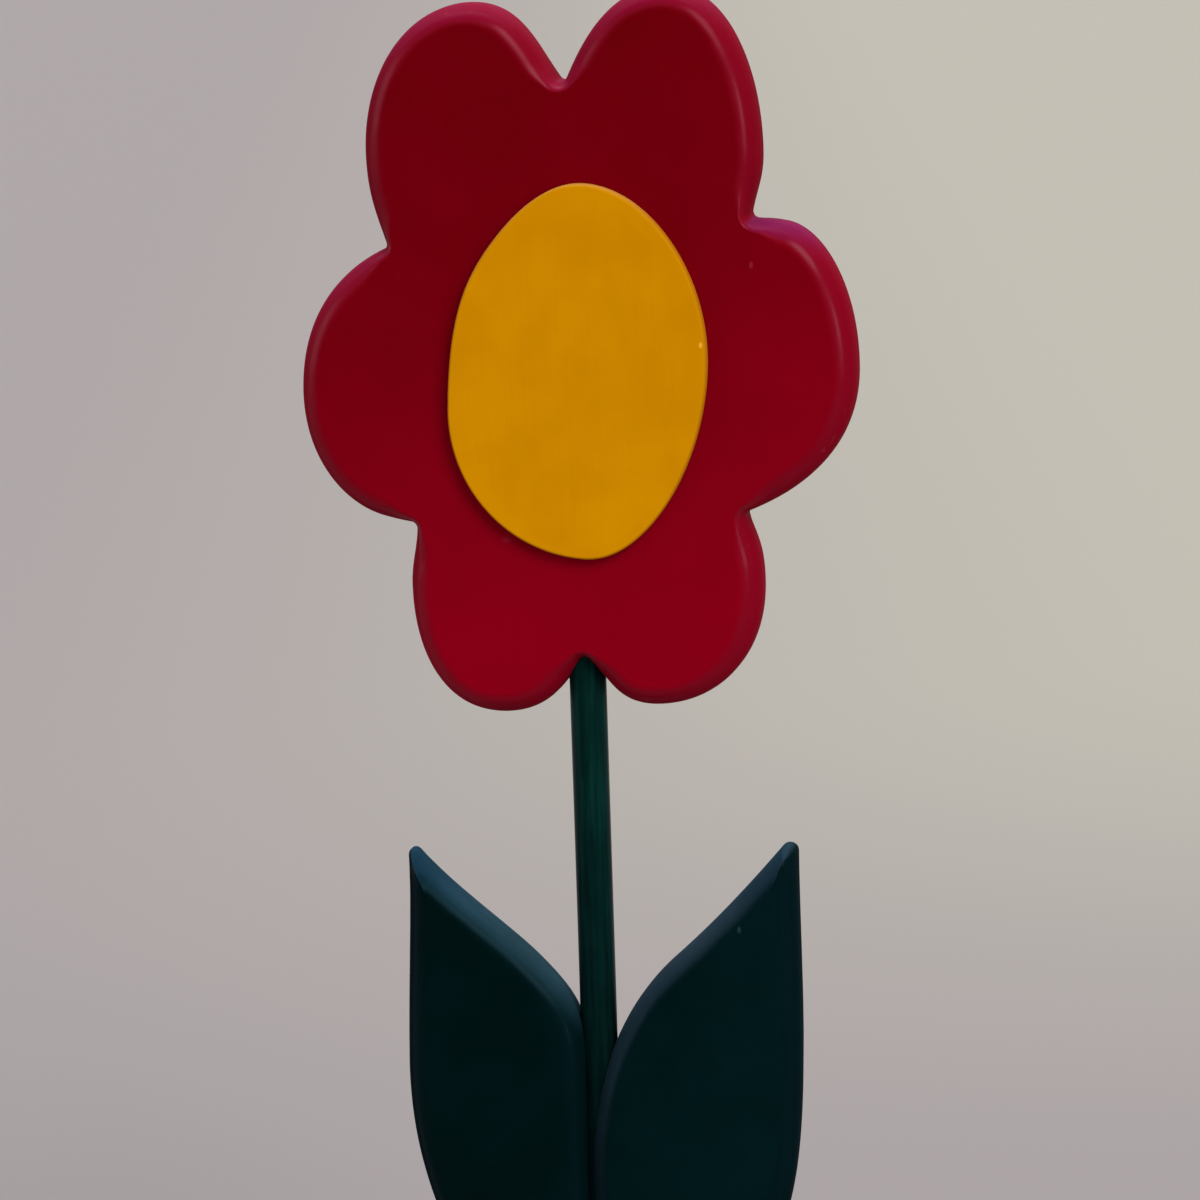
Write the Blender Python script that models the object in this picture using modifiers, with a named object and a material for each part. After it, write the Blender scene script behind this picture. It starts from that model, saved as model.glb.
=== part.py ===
"""Painted wooden flower: a cut-out head on a dowel stem, held by two leaves on a wooden foot.

The flower stands upright with its front towards -Y. The origin is on the surface that it stands on,
under the middle of its stem. Lengths are in metres and headings in degrees.
"""

import math
from typing import NamedTuple

import bmesh
import bpy
from mathutils import Vector

# Boards and fits
BOARD_THICKNESS = 0.015
EDGE_ROUNDING = 0.0037
NOTCH_RADIUS = 0.001
GLUE_GAP = 0.0003

# Dowel stem
STEM_DIAMETER = 0.008
STEM_SHOWING = 0.155
STEM_CHAMFER = 0.0006
HEAD_SOCKET_DEPTH = 0.034
BASE_SOCKET_FLOOR = 0.004

# Disc in the middle of the head
CENTRE_HEIGHT = 0.061
CENTRE_THICKNESS = 0.0024
CENTRE_ROUNDING = 0.0010

# Leaves
LEFT_LEAF_LAP = 0.0011
RIGHT_LEAF_LAP = 0.0056
LEFT_TIP_RADIUS = 0.0006
RIGHT_TIP_RADIUS = 0.0014
LEAF_TRIM = 0.004

# Foot
BASE_WIDTH = 0.110
BASE_DEPTH = 0.070
BASE_HEIGHT = 0.018
BASE_CORNER_RADIUS = 0.012
BASE_TOP_ROUNDING = 0.0037
BASE_UNDER_CHAMFER = 0.0008

# Countersunk wood screws
SCREW_SPREAD = 0.011
SCREW_BITE = 0.012
SCREW_POINT_LENGTH = 0.005
SCREW_SHANK_DIAMETER = 0.0035
SCREW_HEAD_DIAMETER = 0.0070
SCREW_HEAD_DEPTH = 0.0021
SCREW_RIM = 0.0003
SCREW_RECESS_WIDTH = 0.0009
SCREW_RECESS_SPAN = 0.0038
SCREW_RECESS_DEPTH = 0.0015

# Felt pads
PAD_DIAMETER = 0.018
PAD_THICKNESS = 0.0016
PAD_MARGIN = 0.005
PAD_CHAMFER = 0.0002

# Fineness of the curves
OUTLINE_STEPS = 6
ROUNDING_STEPS = 4
ROUND_SIDES = 32
SCREW_SIDES = 24
SHARP_ANGLE = math.radians(38)
CHAMFER_ANGLE = math.radians(60)

# Limits of the modelling: how much of the wood's own width a rounding may take, how far a cutter runs
# on past the wood, and how close points are welded
FULLEST_ROUNDING = 0.9
CUTTER_REACH = 0.010
WELD = 1e-6

# Heights that follow from the sizes above
BASE_UNDERSIDE = PAD_THICKNESS + GLUE_GAP
BASE_TOP = BASE_UNDERSIDE + BASE_HEIGHT
HEAD_FOOT = BASE_TOP + STEM_SHOWING
STEM_RADIUS = STEM_DIAMETER / 2
SOCKET_RADIUS = STEM_RADIUS + GLUE_GAP
SCREW_LENGTH = BASE_HEIGHT + SCREW_BITE


class Knot(NamedTuple):
    """A smooth point of an outline: its place, its heading and the pull of the curve on each side."""

    x: float
    y: float
    heading: float
    before: float
    after: float


class Corner(NamedTuple):
    """A sharp turn of an outline, rounded off by an arc of its own radius."""

    x: float
    y: float
    arrive: float
    leave: float
    before: float
    after: float
    radius: float


# Outlines run anticlockwise as seen from the front. The head's is measured from the notch that the
# stem enters, the disc's from its own middle, and the leaves' from the stem's axis at the foot's top.
HEAD_OUTLINE = (
    Corner(0.0, 0.0, 55, -49, 0.007, 0.007, NOTCH_RADIUS),
    Knot(0.0165, -0.0116, 2, 0.009, 0.0125),
    Knot(0.0391, 0.0145, 90, 0.016, 0.009),
    Corner(0.0356, 0.0303, 104, 21, 0.004, 0.008, NOTCH_RADIUS),
    Knot(0.0609, 0.0615, 90, 0.020, 0.016),
    Knot(0.0464, 0.0924, 168, 0.008, 0.004),
    Corner(0.0382, 0.0933, 173, 77, 0.002, 0.005, NOTCH_RADIUS),
    Knot(0.0412, 0.1082, 90, 0.006, 0.018),
    Knot(0.0212, 0.1434, 181, 0.013, 0.011),
    Corner(-0.0009, 0.1223, 246, 122, 0.009, 0.010, NOTCH_RADIUS),
    Knot(-0.0212, 0.1405, 181, 0.010, 0.013),
    Knot(-0.0443, 0.1088, 270, 0.018, 0.008),
    Corner(-0.0397, 0.0884, 292, 203, 0.006, 0.008, NOTCH_RADIUS),
    Knot(-0.0601, 0.0569, 270, 0.019, 0.015),
    Knot(-0.0426, 0.0300, 346, 0.009, 0.002),
    Corner(-0.0355, 0.0287, 353, 264, 0.002, 0.005, NOTCH_RADIUS),
    Knot(-0.0374, 0.0145, 270, 0.005, 0.016),
    Knot(-0.0173, -0.0131, 2, 0.013, 0.009),
)

CENTRE_OUTLINE = (
    Knot(0.0036, 0.0413, 176, 0.014, 0.008),
    Knot(-0.0173, 0.0277, 233, 0.009, 0.009),
    Knot(-0.0272, -0.0071, 268, 0.019, 0.017),
    Knot(0.0019, -0.0400, 356, 0.017, 0.014),
    Knot(0.0297, 0.0039, 90, 0.022, 0.019),
)

LEFT_LEAF_EDGE = LEFT_LEAF_LAP - STEM_RADIUS
LEFT_LEAF_OUTLINE = (
    Corner(LEFT_LEAF_EDGE, -LEAF_TRIM, 0, 90, 0.002, 0.020, NOTCH_RADIUS),
    Knot(LEFT_LEAF_EDGE, 0.0626, 90, 0.020, 0.010),
    Knot(-0.0133, 0.0861, 134, 0.013, 0.009),
    Corner(-0.0406, 0.1118, 128, 273, 0.010, 0.010, LEFT_TIP_RADIUS),
    Knot(-0.0419, 0.0638, 269, 0.016, 0.022),
    Knot(-0.0170, 0.0, 316, 0.026, 0.001),
    Corner(-0.0128, -LEAF_TRIM, 316, 360, 0.001, 0.002, NOTCH_RADIUS),
)

RIGHT_LEAF_EDGE = STEM_RADIUS - RIGHT_LEAF_LAP
RIGHT_LEAF_OUTLINE = (
    Corner(0.0171, -LEAF_TRIM, 0, 50, 0.002, 0.001, NOTCH_RADIUS),
    Knot(0.0205, 0.0, 37, 0.001, 0.026),
    Knot(0.0445, 0.0628, 88, 0.024, 0.020),
    Corner(0.0449, 0.1141, 88, 229, 0.010, 0.008, RIGHT_TIP_RADIUS),
    Knot(0.0180, 0.0864, 221, 0.012, 0.019),
    Knot(RIGHT_LEAF_EDGE, 0.0369, 270, 0.018, 0.010),
    Corner(RIGHT_LEAF_EDGE, -LEAF_TRIM, 270, 360, 0.010, 0.002, NOTCH_RADIUS),
)


def clear_scene():
    """Removes whatever the scene holds, so that the flower stands alone."""
    for old in list(bpy.data.objects):
        bpy.data.objects.remove(old, do_unlink=True)


def make_collection(name):
    """Adds a collection to the scene."""
    collection = bpy.data.collections.new(name)
    bpy.context.scene.collection.children.link(collection)
    return collection


def make_material(name, colour, roughness, metallic=0.0):
    """Makes a plain material from a linear colour."""
    material = bpy.data.materials.new(name)
    material.use_nodes = True
    shader = material.node_tree.nodes["Principled BSDF"]
    shader.inputs["Base Color"].default_value = (*colour, 1.0)
    shader.inputs["Roughness"].default_value = roughness
    shader.inputs["Metallic"].default_value = metallic
    material.diffuse_color = (*colour, 1.0)
    return material


def direction(heading):
    """Unit vector of a heading in the outline's plane."""
    angle = math.radians(heading)
    return Vector((math.cos(angle), math.sin(angle), 0.0))


def lowest_point(outline):
    """Height of the lowest control point of an outline."""
    return min(knot.y for knot in outline)


def bezier_points(outline):
    """Place, left handle and right handle of each control point, with the corners rounded off."""
    points = []
    for knot in outline:
        place = Vector((knot.x, knot.y, 0.0))
        if isinstance(knot, Knot):
            way = direction(knot.heading)
            points.append((place, place - way * knot.before, place + way * knot.after))
            continue
        turn = math.radians(abs((knot.leave - knot.arrive + 180) % 360 - 180))
        cut = knot.radius * math.tan(turn / 2)
        pull = knot.radius * math.tan(turn / 4) * 4 / 3
        arrive, leave = direction(knot.arrive), direction(knot.leave)
        start, end = place - arrive * cut, place + leave * cut
        points.append((start, start - arrive * knot.before, start + arrive * pull))
        points.append((end, end - leave * pull, end + leave * knot.after))
    return points


def flat_board(name, outline, thickness):
    """A flat board: a filled outline with thickness, its caps welded to its wall."""
    curve = bpy.data.curves.new(name, "CURVE")
    curve.dimensions = "2D"
    curve.fill_mode = "BOTH"
    curve.extrude = thickness / 2
    curve.resolution_u = OUTLINE_STEPS
    curve.render_resolution_u = OUTLINE_STEPS
    spline = curve.splines.new("BEZIER")
    points = bezier_points(outline)
    spline.bezier_points.add(len(points) - 1)
    spline.use_cyclic_u = True
    for control, (place, left, right) in zip(spline.bezier_points, points):
        control.handle_left_type = "FREE"
        control.handle_right_type = "FREE"
        control.co = place
        control.handle_left = left
        control.handle_right = right
    guide = bpy.data.objects.new(name, curve)
    bpy.context.scene.collection.objects.link(guide)
    graph = bpy.context.evaluated_depsgraph_get()
    mesh = bpy.data.meshes.new_from_object(guide.evaluated_get(graph))
    bpy.data.objects.remove(guide)
    return mesh


def rounding_room(ring, side):
    """Inward normal of each point of a closed ring, and the widest circle that touches it inside.

    side is +1 for a ring that runs anticlockwise and -1 for one that runs clockwise.
    """
    count = len(ring)
    rooms = []
    for i, here in enumerate(ring):
        along = (ring[(i + 1) % count] - ring[i - 1]).normalized()
        inward = side * Vector((-along.y, along.x, 0.0))
        room = math.inf
        for there in ring:
            gap = there - here
            ahead = gap.dot(inward)
            if ahead > WELD:
                room = min(room, gap.length_squared / (2 * ahead))
        rooms.append((inward, room))
    return rooms


def round_rim(bm, side, half, radius):
    """Rounds the rim of one face of a board. Where the board narrows to a tip, its face runs down.

    side is +1 for the face at the top of the board and -1 for the one below.
    """
    rim = half - WELD
    flats = [face for face in bm.faces if all(vert.co.z * side > rim for vert in face.verts)]
    cap = bmesh.ops.dissolve_faces(bm, faces=flats, use_verts=False)["region"][0]
    ring = [loop.vert for loop in cap.loops]
    places = [Vector((vert.co.x, vert.co.y, 0.0)) for vert in ring]
    rooms = rounding_room(places, side)
    insets = [min(radius, FULLEST_ROUNDING * room) for _, room in rooms]
    for vert in ring:
        vert.co.z = side * (half - radius)
    for step in range(1, ROUNDING_STEPS + 1):
        share = 1 - math.cos(math.pi / 2 * step / ROUNDING_STEPS)
        cap = bmesh.ops.extrude_discrete_faces(bm, faces=[cap])["faces"][0]
        ring = [loop.vert for loop in cap.loops]
        for vert, place, (inward, _), inset in zip(ring, places, rooms, insets):
            moved = place + inward * inset * share
            height = half - radius + math.sqrt(radius**2 - (radius - inset * share) ** 2)
            vert.co = (moved.x, moved.y, side * height)
    bmesh.ops.triangulate(bm, faces=[cap])


def rounded_board(name, outline, thickness, top_radius, under_radius):
    """A board whose rims are rounded over, as a mesh lying in its own XY plane."""
    mesh = flat_board(name, outline, thickness)
    bm = bmesh.new()
    bm.from_mesh(mesh)
    bmesh.ops.remove_doubles(bm, verts=bm.verts, dist=WELD)
    bmesh.ops.recalc_face_normals(bm, faces=bm.faces)
    half = thickness / 2
    for side, radius in ((1, top_radius), (-1, under_radius)):
        if radius > 0:
            round_rim(bm, side, half, min(radius, FULLEST_ROUNDING * half))
    bm.to_mesh(mesh)
    bm.free()
    return mesh


def trim_foot(mesh, height):
    """Saws a board square at a height in its own plane and keeps what is above."""
    bm = bmesh.new()
    bm.from_mesh(mesh)
    whole = list(bm.verts) + list(bm.edges) + list(bm.faces)
    cut = bmesh.ops.bisect_plane(
        bm, geom=whole, plane_co=(0, height, 0), plane_no=(0, 1, 0), clear_inner=True
    )
    rim = [item for item in cut["geom_cut"] if isinstance(item, bmesh.types.BMEdge)]
    bmesh.ops.edgeloop_fill(bm, edges=rim)
    bmesh.ops.recalc_face_normals(bm, faces=bm.faces)
    bm.to_mesh(mesh)
    bm.free()


def place_piece(name, mesh, material, collection, parent, location, upright=False):
    """Adds a piece of the flower as an object; a board is stood up so that its top faces the front."""
    mesh.name = name
    mesh.materials.clear()
    mesh.materials.append(material)
    mesh.shade_smooth()
    mesh.set_sharp_from_angle(angle=SHARP_ANGLE)
    piece = bpy.data.objects.new(name, mesh)
    piece.location = location
    if upright:
        piece.rotation_euler = (math.pi / 2, 0, 0)
    piece.parent = parent
    collection.objects.link(piece)
    return piece


def place_cutter(name, mesh, collection, parent, location):
    """Adds a cutter, which shows as a wire and isn't part of the flower."""
    cutter = bpy.data.objects.new(name, mesh)
    cutter.location = location
    cutter.parent = parent
    cutter.hide_render = True
    cutter.display_type = "WIRE"
    collection.objects.link(cutter)
    return cutter


def cut_with(piece, cutter):
    """Takes a cutter's shape out of a piece."""
    boolean = piece.modifiers.new(cutter.name, "BOOLEAN")
    boolean.object = cutter
    boolean.operation = "DIFFERENCE"
    boolean.solver = "EXACT"


def rod(name, radius, length, sides):
    """A round rod whose lower end is at its own origin."""
    mesh = bpy.data.meshes.new(name)
    bm = bmesh.new()
    bmesh.ops.create_cone(
        bm, cap_ends=True, segments=sides, radius1=radius, radius2=radius, depth=length
    )
    bmesh.ops.translate(bm, verts=bm.verts, vec=(0, 0, length / 2))
    bm.to_mesh(mesh)
    bm.free()
    return mesh


def chamfer_rims(piece, width):
    """Takes the sharp edge off both ends of a round piece."""
    bevel = piece.modifiers.new("chamfer", "BEVEL")
    bevel.width = width
    bevel.segments = 1
    bevel.limit_method = "ANGLE"
    bevel.angle_limit = CHAMFER_ANGLE


def screw_mesh(name, grow=0.0, below=0.0):
    """Profile of a countersunk screw, point up, with its head's face at its own origin.

    A drill for the screw is the same profile, grown all round and carried on below the head.
    """
    head = SCREW_HEAD_DIAMETER / 2 + grow
    shank = SCREW_SHANK_DIAMETER / 2 + grow
    neck = SCREW_RIM + SCREW_HEAD_DEPTH
    profile = (
        (0.0, SCREW_LENGTH + grow),
        (shank, SCREW_LENGTH - SCREW_POINT_LENGTH + grow),
        (shank, neck + grow),
        (head, SCREW_RIM + grow),
        (head, -below),
        (0.0, -below),
    )
    mesh = bpy.data.meshes.new(name)
    bm = bmesh.new()
    corners = [bm.verts.new((x, 0, z)) for x, z in profile]
    for start, end in zip(corners, corners[1:]):
        bm.edges.new((start, end))
    bm.to_mesh(mesh)
    bm.free()
    return mesh


def turn(piece):
    """Turns a profile into a solid of revolution."""
    screw = piece.modifiers.new("turned", "SCREW")
    screw.steps = SCREW_SIDES
    screw.render_steps = SCREW_SIDES
    screw.use_merge_vertices = True
    screw.merge_threshold = WELD


def block(name, size):
    """A plain box about its own origin."""
    mesh = bpy.data.meshes.new(name)
    bm = bmesh.new()
    bmesh.ops.create_cube(bm, size=1.0)
    bmesh.ops.scale(bm, verts=bm.verts, vec=size)
    bm.to_mesh(mesh)
    bm.free()
    return mesh


def base_outline():
    """Rectangle of the foot, seen from above, with its corners rounded off."""
    x, y = BASE_WIDTH / 2, BASE_DEPTH / 2
    radius = min(BASE_CORNER_RADIUS, FULLEST_ROUNDING * min(x, y))
    straight = GLUE_GAP
    return (
        Corner(x, -y, 0, 90, straight, straight, radius),
        Corner(x, y, 90, 180, straight, straight, radius),
        Corner(-x, y, 180, 270, straight, straight, radius),
        Corner(-x, -y, 270, 360, straight, straight, radius),
    )


def build_head(parts, cutters, root, paint):
    """The six-petal head, with the stem's socket drilled up from the bottom notch."""
    mesh = rounded_board(
        "flower_head", HEAD_OUTLINE, BOARD_THICKNESS, EDGE_ROUNDING, EDGE_ROUNDING
    )
    head = place_piece("flower_head", mesh, paint, parts, root, (0, 0, HEAD_FOOT), upright=True)
    below = CUTTER_REACH - lowest_point(HEAD_OUTLINE)
    drill = rod("head_socket", SOCKET_RADIUS, HEAD_SOCKET_DEPTH + below, ROUND_SIDES)
    cut_with(head, place_cutter("head_socket", drill, cutters, root, (0, 0, HEAD_FOOT - below)))


def build_centre(parts, root, paint):
    """The oval disc glued on the front of the head."""
    mesh = rounded_board("flower_centre", CENTRE_OUTLINE, CENTRE_THICKNESS, CENTRE_ROUNDING, 0)
    front = -(BOARD_THICKNESS / 2 + GLUE_GAP + CENTRE_THICKNESS / 2)
    height = HEAD_FOOT + CENTRE_HEIGHT
    place_piece("flower_centre", mesh, paint, parts, root, (0, front, height), upright=True)


def build_stem(parts, root, paint):
    """The dowel, from the bottom of the foot's socket to the top of the head's."""
    bottom = BASE_UNDERSIDE + BASE_SOCKET_FLOOR + GLUE_GAP
    top = HEAD_FOOT + HEAD_SOCKET_DEPTH - GLUE_GAP
    mesh = rod("stem", STEM_RADIUS, top - bottom, ROUND_SIDES)
    stem = place_piece("stem", mesh, paint, parts, root, (0, 0, bottom))
    chamfer_rims(stem, STEM_CHAMFER)


def build_leaf(name, outline, side, parts, cutters, root, paint):
    """A leaf, grooved round the stem and drilled for its screw; side is -1 on the left."""
    mesh = rounded_board(name, outline, BOARD_THICKNESS, EDGE_ROUNDING, EDGE_ROUNDING)
    trim_foot(mesh, GLUE_GAP)
    leaf = place_piece(name, mesh, paint, parts, root, (0, 0, BASE_TOP), upright=True)
    groove = rod(f"{name}_groove", SOCKET_RADIUS, CUTTER_REACH + STEM_SHOWING, ROUND_SIDES)
    foot = BASE_TOP - CUTTER_REACH
    cut_with(leaf, place_cutter(f"{name}_groove", groove, cutters, root, (0, 0, foot)))
    pilot = screw_mesh(f"{name}_pilot", grow=GLUE_GAP, below=CUTTER_REACH)
    place = (side * SCREW_SPREAD, 0, BASE_UNDERSIDE + GLUE_GAP)
    cutter = place_cutter(f"{name}_pilot", pilot, cutters, root, place)
    turn(cutter)
    cut_with(leaf, cutter)
    return cutter


def build_base(pilots, parts, cutters, root, paint):
    """The foot, with a blind socket for the stem and a countersunk hole for each leaf's screw."""
    mesh = rounded_board(
        "base", base_outline(), BASE_HEIGHT, BASE_TOP_ROUNDING, BASE_UNDER_CHAMFER
    )
    middle = BASE_UNDERSIDE + BASE_HEIGHT / 2
    base = place_piece("base", mesh, paint, parts, root, (0, 0, middle))
    drill = rod("base_socket", SOCKET_RADIUS, BASE_HEIGHT, ROUND_SIDES)
    floor = BASE_UNDERSIDE + BASE_SOCKET_FLOOR
    cut_with(base, place_cutter("base_socket", drill, cutters, root, (0, 0, floor)))
    for pilot in pilots:
        cut_with(base, pilot)


def build_screw(name, side, parts, cutters, root, steel):
    """A screw up through the foot into a leaf, with a cross recess in its head."""
    place = (side * SCREW_SPREAD, 0, BASE_UNDERSIDE + GLUE_GAP)
    screw = place_piece(name, screw_mesh(name), steel, parts, root, place)
    turn(screw)
    for arm, size in (
        ("across", (SCREW_RECESS_SPAN, SCREW_RECESS_WIDTH, 2 * SCREW_RECESS_DEPTH)),
        ("along", (SCREW_RECESS_WIDTH, SCREW_RECESS_SPAN, 2 * SCREW_RECESS_DEPTH)),
    ):
        slot = block(f"{name}_recess_{arm}", size)
        cut_with(screw, place_cutter(f"{name}_recess_{arm}", slot, cutters, root, place))


def build_pads(parts, root, felt):
    """Four round felt pads, in from the foot's corners."""
    inset = PAD_MARGIN + PAD_DIAMETER / 2
    x = BASE_WIDTH / 2 - inset
    y = BASE_DEPTH / 2 - inset
    for depth_name, depth in (("front", -y), ("back", y)):
        for side_name, side in (("left", -x), ("right", x)):
            name = f"felt_pad_{depth_name}_{side_name}"
            mesh = rod(name, PAD_DIAMETER / 2, PAD_THICKNESS, ROUND_SIDES)
            pad = place_piece(name, mesh, felt, parts, root, (side, depth, 0))
            chamfer_rims(pad, PAD_CHAMFER)


def main():
    """Builds the flower piece by piece."""
    clear_scene()
    parts = make_collection("painted_wooden_flower")
    cutters = make_collection("cutters")
    root = bpy.data.objects.new("flower_root", None)
    parts.objects.link(root)

    red = make_material("red_paint", (0.22, 0.0, 0.008), 0.25)
    yellow = make_material("yellow_paint", (0.56, 0.23, 0.0), 0.3)
    stem_green = make_material("stem_green_paint", (0.002, 0.022, 0.018), 0.3)
    leaf_green = make_material("leaf_green_paint", (0.003, 0.013, 0.014), 0.28)
    steel = make_material("screw_steel", (0.55, 0.52, 0.45), 0.35, 1.0)
    felt = make_material("felt", (0.02, 0.05, 0.035), 0.95)

    build_head(parts, cutters, root, red)
    build_centre(parts, root, yellow)
    build_stem(parts, root, stem_green)
    left = build_leaf("leaf_left", LEFT_LEAF_OUTLINE, -1, parts, cutters, root, leaf_green)
    right = build_leaf("leaf_right", RIGHT_LEAF_OUTLINE, 1, parts, cutters, root, leaf_green)
    build_base((left, right), parts, cutters, root, leaf_green)
    build_screw("leaf_screw_left", -1, parts, cutters, root, steel)
    build_screw("leaf_screw_right", 1, parts, cutters, root, steel)
    build_pads(parts, root, felt)


main()
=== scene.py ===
"""Dresses the painted wooden flower for its portrait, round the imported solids.

Every piece is made afresh where its solid stands: boards with hand-rounded rims, a dowel, wood screws and
felt pads, all with tight joints and brushed enamel. The gaps that the solids leave for glue are closed
here. Lengths are in metres and headings in degrees. The flower stands upright and faces -Y.
"""

from __future__ import annotations

import sys

import logging
import math
from dataclasses import dataclass, field, replace
from enum import Enum
from functools import reduce
from random import Random
from typing import NamedTuple, Sequence, Union

import bmesh
import bpy
import numpy as np
from mathutils import Matrix, Vector, kdtree, noise
from mathutils.geometry import interpolate_bezier


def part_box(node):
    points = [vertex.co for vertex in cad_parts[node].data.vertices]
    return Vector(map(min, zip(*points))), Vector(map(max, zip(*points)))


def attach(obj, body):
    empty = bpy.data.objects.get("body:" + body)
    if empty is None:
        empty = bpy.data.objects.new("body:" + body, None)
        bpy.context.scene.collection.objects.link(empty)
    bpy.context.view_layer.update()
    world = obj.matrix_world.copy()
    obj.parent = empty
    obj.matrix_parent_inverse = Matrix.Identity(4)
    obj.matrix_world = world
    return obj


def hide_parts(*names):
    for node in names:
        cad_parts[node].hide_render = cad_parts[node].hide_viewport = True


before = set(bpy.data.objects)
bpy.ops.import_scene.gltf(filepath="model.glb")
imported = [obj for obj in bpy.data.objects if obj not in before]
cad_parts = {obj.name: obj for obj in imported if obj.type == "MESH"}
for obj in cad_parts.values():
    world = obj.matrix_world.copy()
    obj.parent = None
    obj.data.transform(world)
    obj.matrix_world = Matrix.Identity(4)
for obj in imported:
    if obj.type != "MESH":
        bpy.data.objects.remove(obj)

log = logging.getLogger("painted_flower")

Point = tuple[float, float, float]

ORIGIN: Point = (0.0, 0.0, 0.0)
UPWARD: Point = (0.0, 0.0, 1.0)

# How finely the pieces are made
RING_SPACING = 0.0009
CURVE_STEPS = 6
ROUNDING_STEPS = 9
WALL_ROWS = 4
CAP_CELL = 0.004
BORE_SIDES = 64
PILOT_SIDES = 32
RIM_STEPS = 3
SHARP_ANGLE = math.radians(38)
SHOULDER_ANGLE = math.radians(83)
SUPPORT_INSETS = (0.0003, 0.0012, 0.0030)
FULLEST_INSET = 0.92
WELD = 1e-6

# Sizes that several pieces share
BOARD_THICKNESS = 0.015
BOARD_ROUNDING = 0.0046
BOARD_DROP = 0.0062
BOARD_SPREAD = 0.0004
NOTCH_RADIUS = 0.0016
CORNER_REACH = 0.009
NOTCH_ROUNDING = 0.4
TIP_ROUNDING = 0.45
TIP_REACH = 0.008
TIP_PINCH = 0.0035
STEM_RADIUS = 0.004
GLUE_GAP = 0.0003
SNUG_FIT = 0.00005
BORE_RADIUS = STEM_RADIUS + SNUG_FIT
SCREW_SPREAD = 0.011
CUTTER_REACH = 0.010

# How far in from the outline the brush turned to follow it, and where in the rounding its rubbed crest
# and its glossy bead lie, as a share of its reach
STROKES_TURN = (0.0030, 0.0048)
CREST_DEPTH = 0.2
BEAD_DEPTH = 0.6

# The range that soft noise mostly keeps to
CLOUD_SPAN = (0.3, 0.7)


class Slot(Enum):
    """The record's material slots."""

    RED = "red_paint"
    YELLOW = "yellow_paint"
    STEM_GREEN = "stem_green_paint"
    LEAF_GREEN = "leaf_green_paint"
    STEEL = "screw_steel"
    FELT = "felt"


class Side(Enum):
    """Left or right of the stem, as the viewer sees it."""

    LEFT = -1
    RIGHT = 1


class Strokes(Enum):
    """The way that the brush went: how close together its marks lie along each axis, per metre."""

    UPRIGHT = (900.0, 900.0, 40.0)
    ACROSS = (40.0, 900.0, 900.0)
    ROUND_THE_RIM = (45.0, 45.0, 1100.0)


def direction(heading: float) -> Vector:
    """Unit vector of a heading in an outline's plane."""
    angle = math.radians(heading)
    return Vector((math.cos(angle), math.sin(angle), 0.0))


def eased(share: float) -> float:
    """A share from 0 to 1 that starts and ends gently."""
    return share * share * (3 - 2 * share)


@dataclass(frozen=True)
class Knot:
    """A smooth point of an outline: its place, its heading and the pull of the curve on each side."""

    x: float
    y: float
    heading: float
    before: float
    after: float

    def controls(self) -> list[tuple[Vector, Vector, Vector]]:
        """The point itself with the handles before and after it."""
        place, way = Vector((self.x, self.y, 0.0)), direction(self.heading)
        return [(place, place - way * self.before, place + way * self.after)]


@dataclass(frozen=True)
class Corner:
    """A sharp turn of an outline, rounded off by an arc of its own radius."""

    x: float
    y: float
    arrive: float
    leave: float
    before: float
    after: float
    radius: float

    def controls(self) -> list[tuple[Vector, Vector, Vector]]:
        """Works out the arc.

        Returns:
            Both its ends, each with the handles before and after it.
        """
        place = Vector((self.x, self.y, 0.0))
        turn = math.radians(abs((self.leave - self.arrive + 180) % 360 - 180))
        cut = self.radius * math.tan(turn / 2)
        pull = self.radius * math.tan(turn / 4) * 4 / 3
        arrive, leave = direction(self.arrive), direction(self.leave)
        start, end = place - arrive * cut, place + leave * cut
        return [
            (start, start - arrive * self.before, start + arrive * pull),
            (end, end - leave * pull, end + leave * self.after),
        ]


Outline = tuple[Knot | Corner, ...]

# Outlines run anticlockwise as seen from the front. The head's is measured from the notch that the
# stem enters, the disc's from its own middle, and the leaves' from the stem's axis at the foot's top.
HEAD_OUTLINE: Outline = (
    Corner(0.0, 0.0, 55, -49, 0.007, 0.007, NOTCH_RADIUS),
    Knot(0.0165, -0.0116, 2, 0.009, 0.0125),
    Knot(0.0391, 0.0145, 90, 0.016, 0.009),
    Corner(0.0356, 0.0303, 104, 21, 0.004, 0.008, NOTCH_RADIUS),
    Knot(0.0609, 0.0615, 90, 0.020, 0.016),
    Knot(0.0464, 0.0924, 168, 0.008, 0.004),
    Corner(0.0382, 0.0933, 173, 77, 0.002, 0.005, NOTCH_RADIUS),
    Knot(0.0412, 0.1082, 90, 0.006, 0.018),
    Knot(0.0212, 0.1434, 181, 0.013, 0.011),
    Corner(-0.0009, 0.1217, 246, 122, 0.009, 0.010, NOTCH_RADIUS),
    Knot(-0.0212, 0.1405, 181, 0.010, 0.013),
    Knot(-0.0443, 0.1088, 270, 0.018, 0.008),
    Corner(-0.0397, 0.0884, 292, 203, 0.006, 0.008, NOTCH_RADIUS),
    Knot(-0.0601, 0.0569, 270, 0.019, 0.015),
    Knot(-0.0426, 0.0300, 346, 0.009, 0.002),
    Corner(-0.0355, 0.0287, 353, 264, 0.002, 0.005, NOTCH_RADIUS),
    Knot(-0.0374, 0.0145, 270, 0.005, 0.016),
    Knot(-0.0173, -0.0131, 2, 0.013, 0.009),
)

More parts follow.
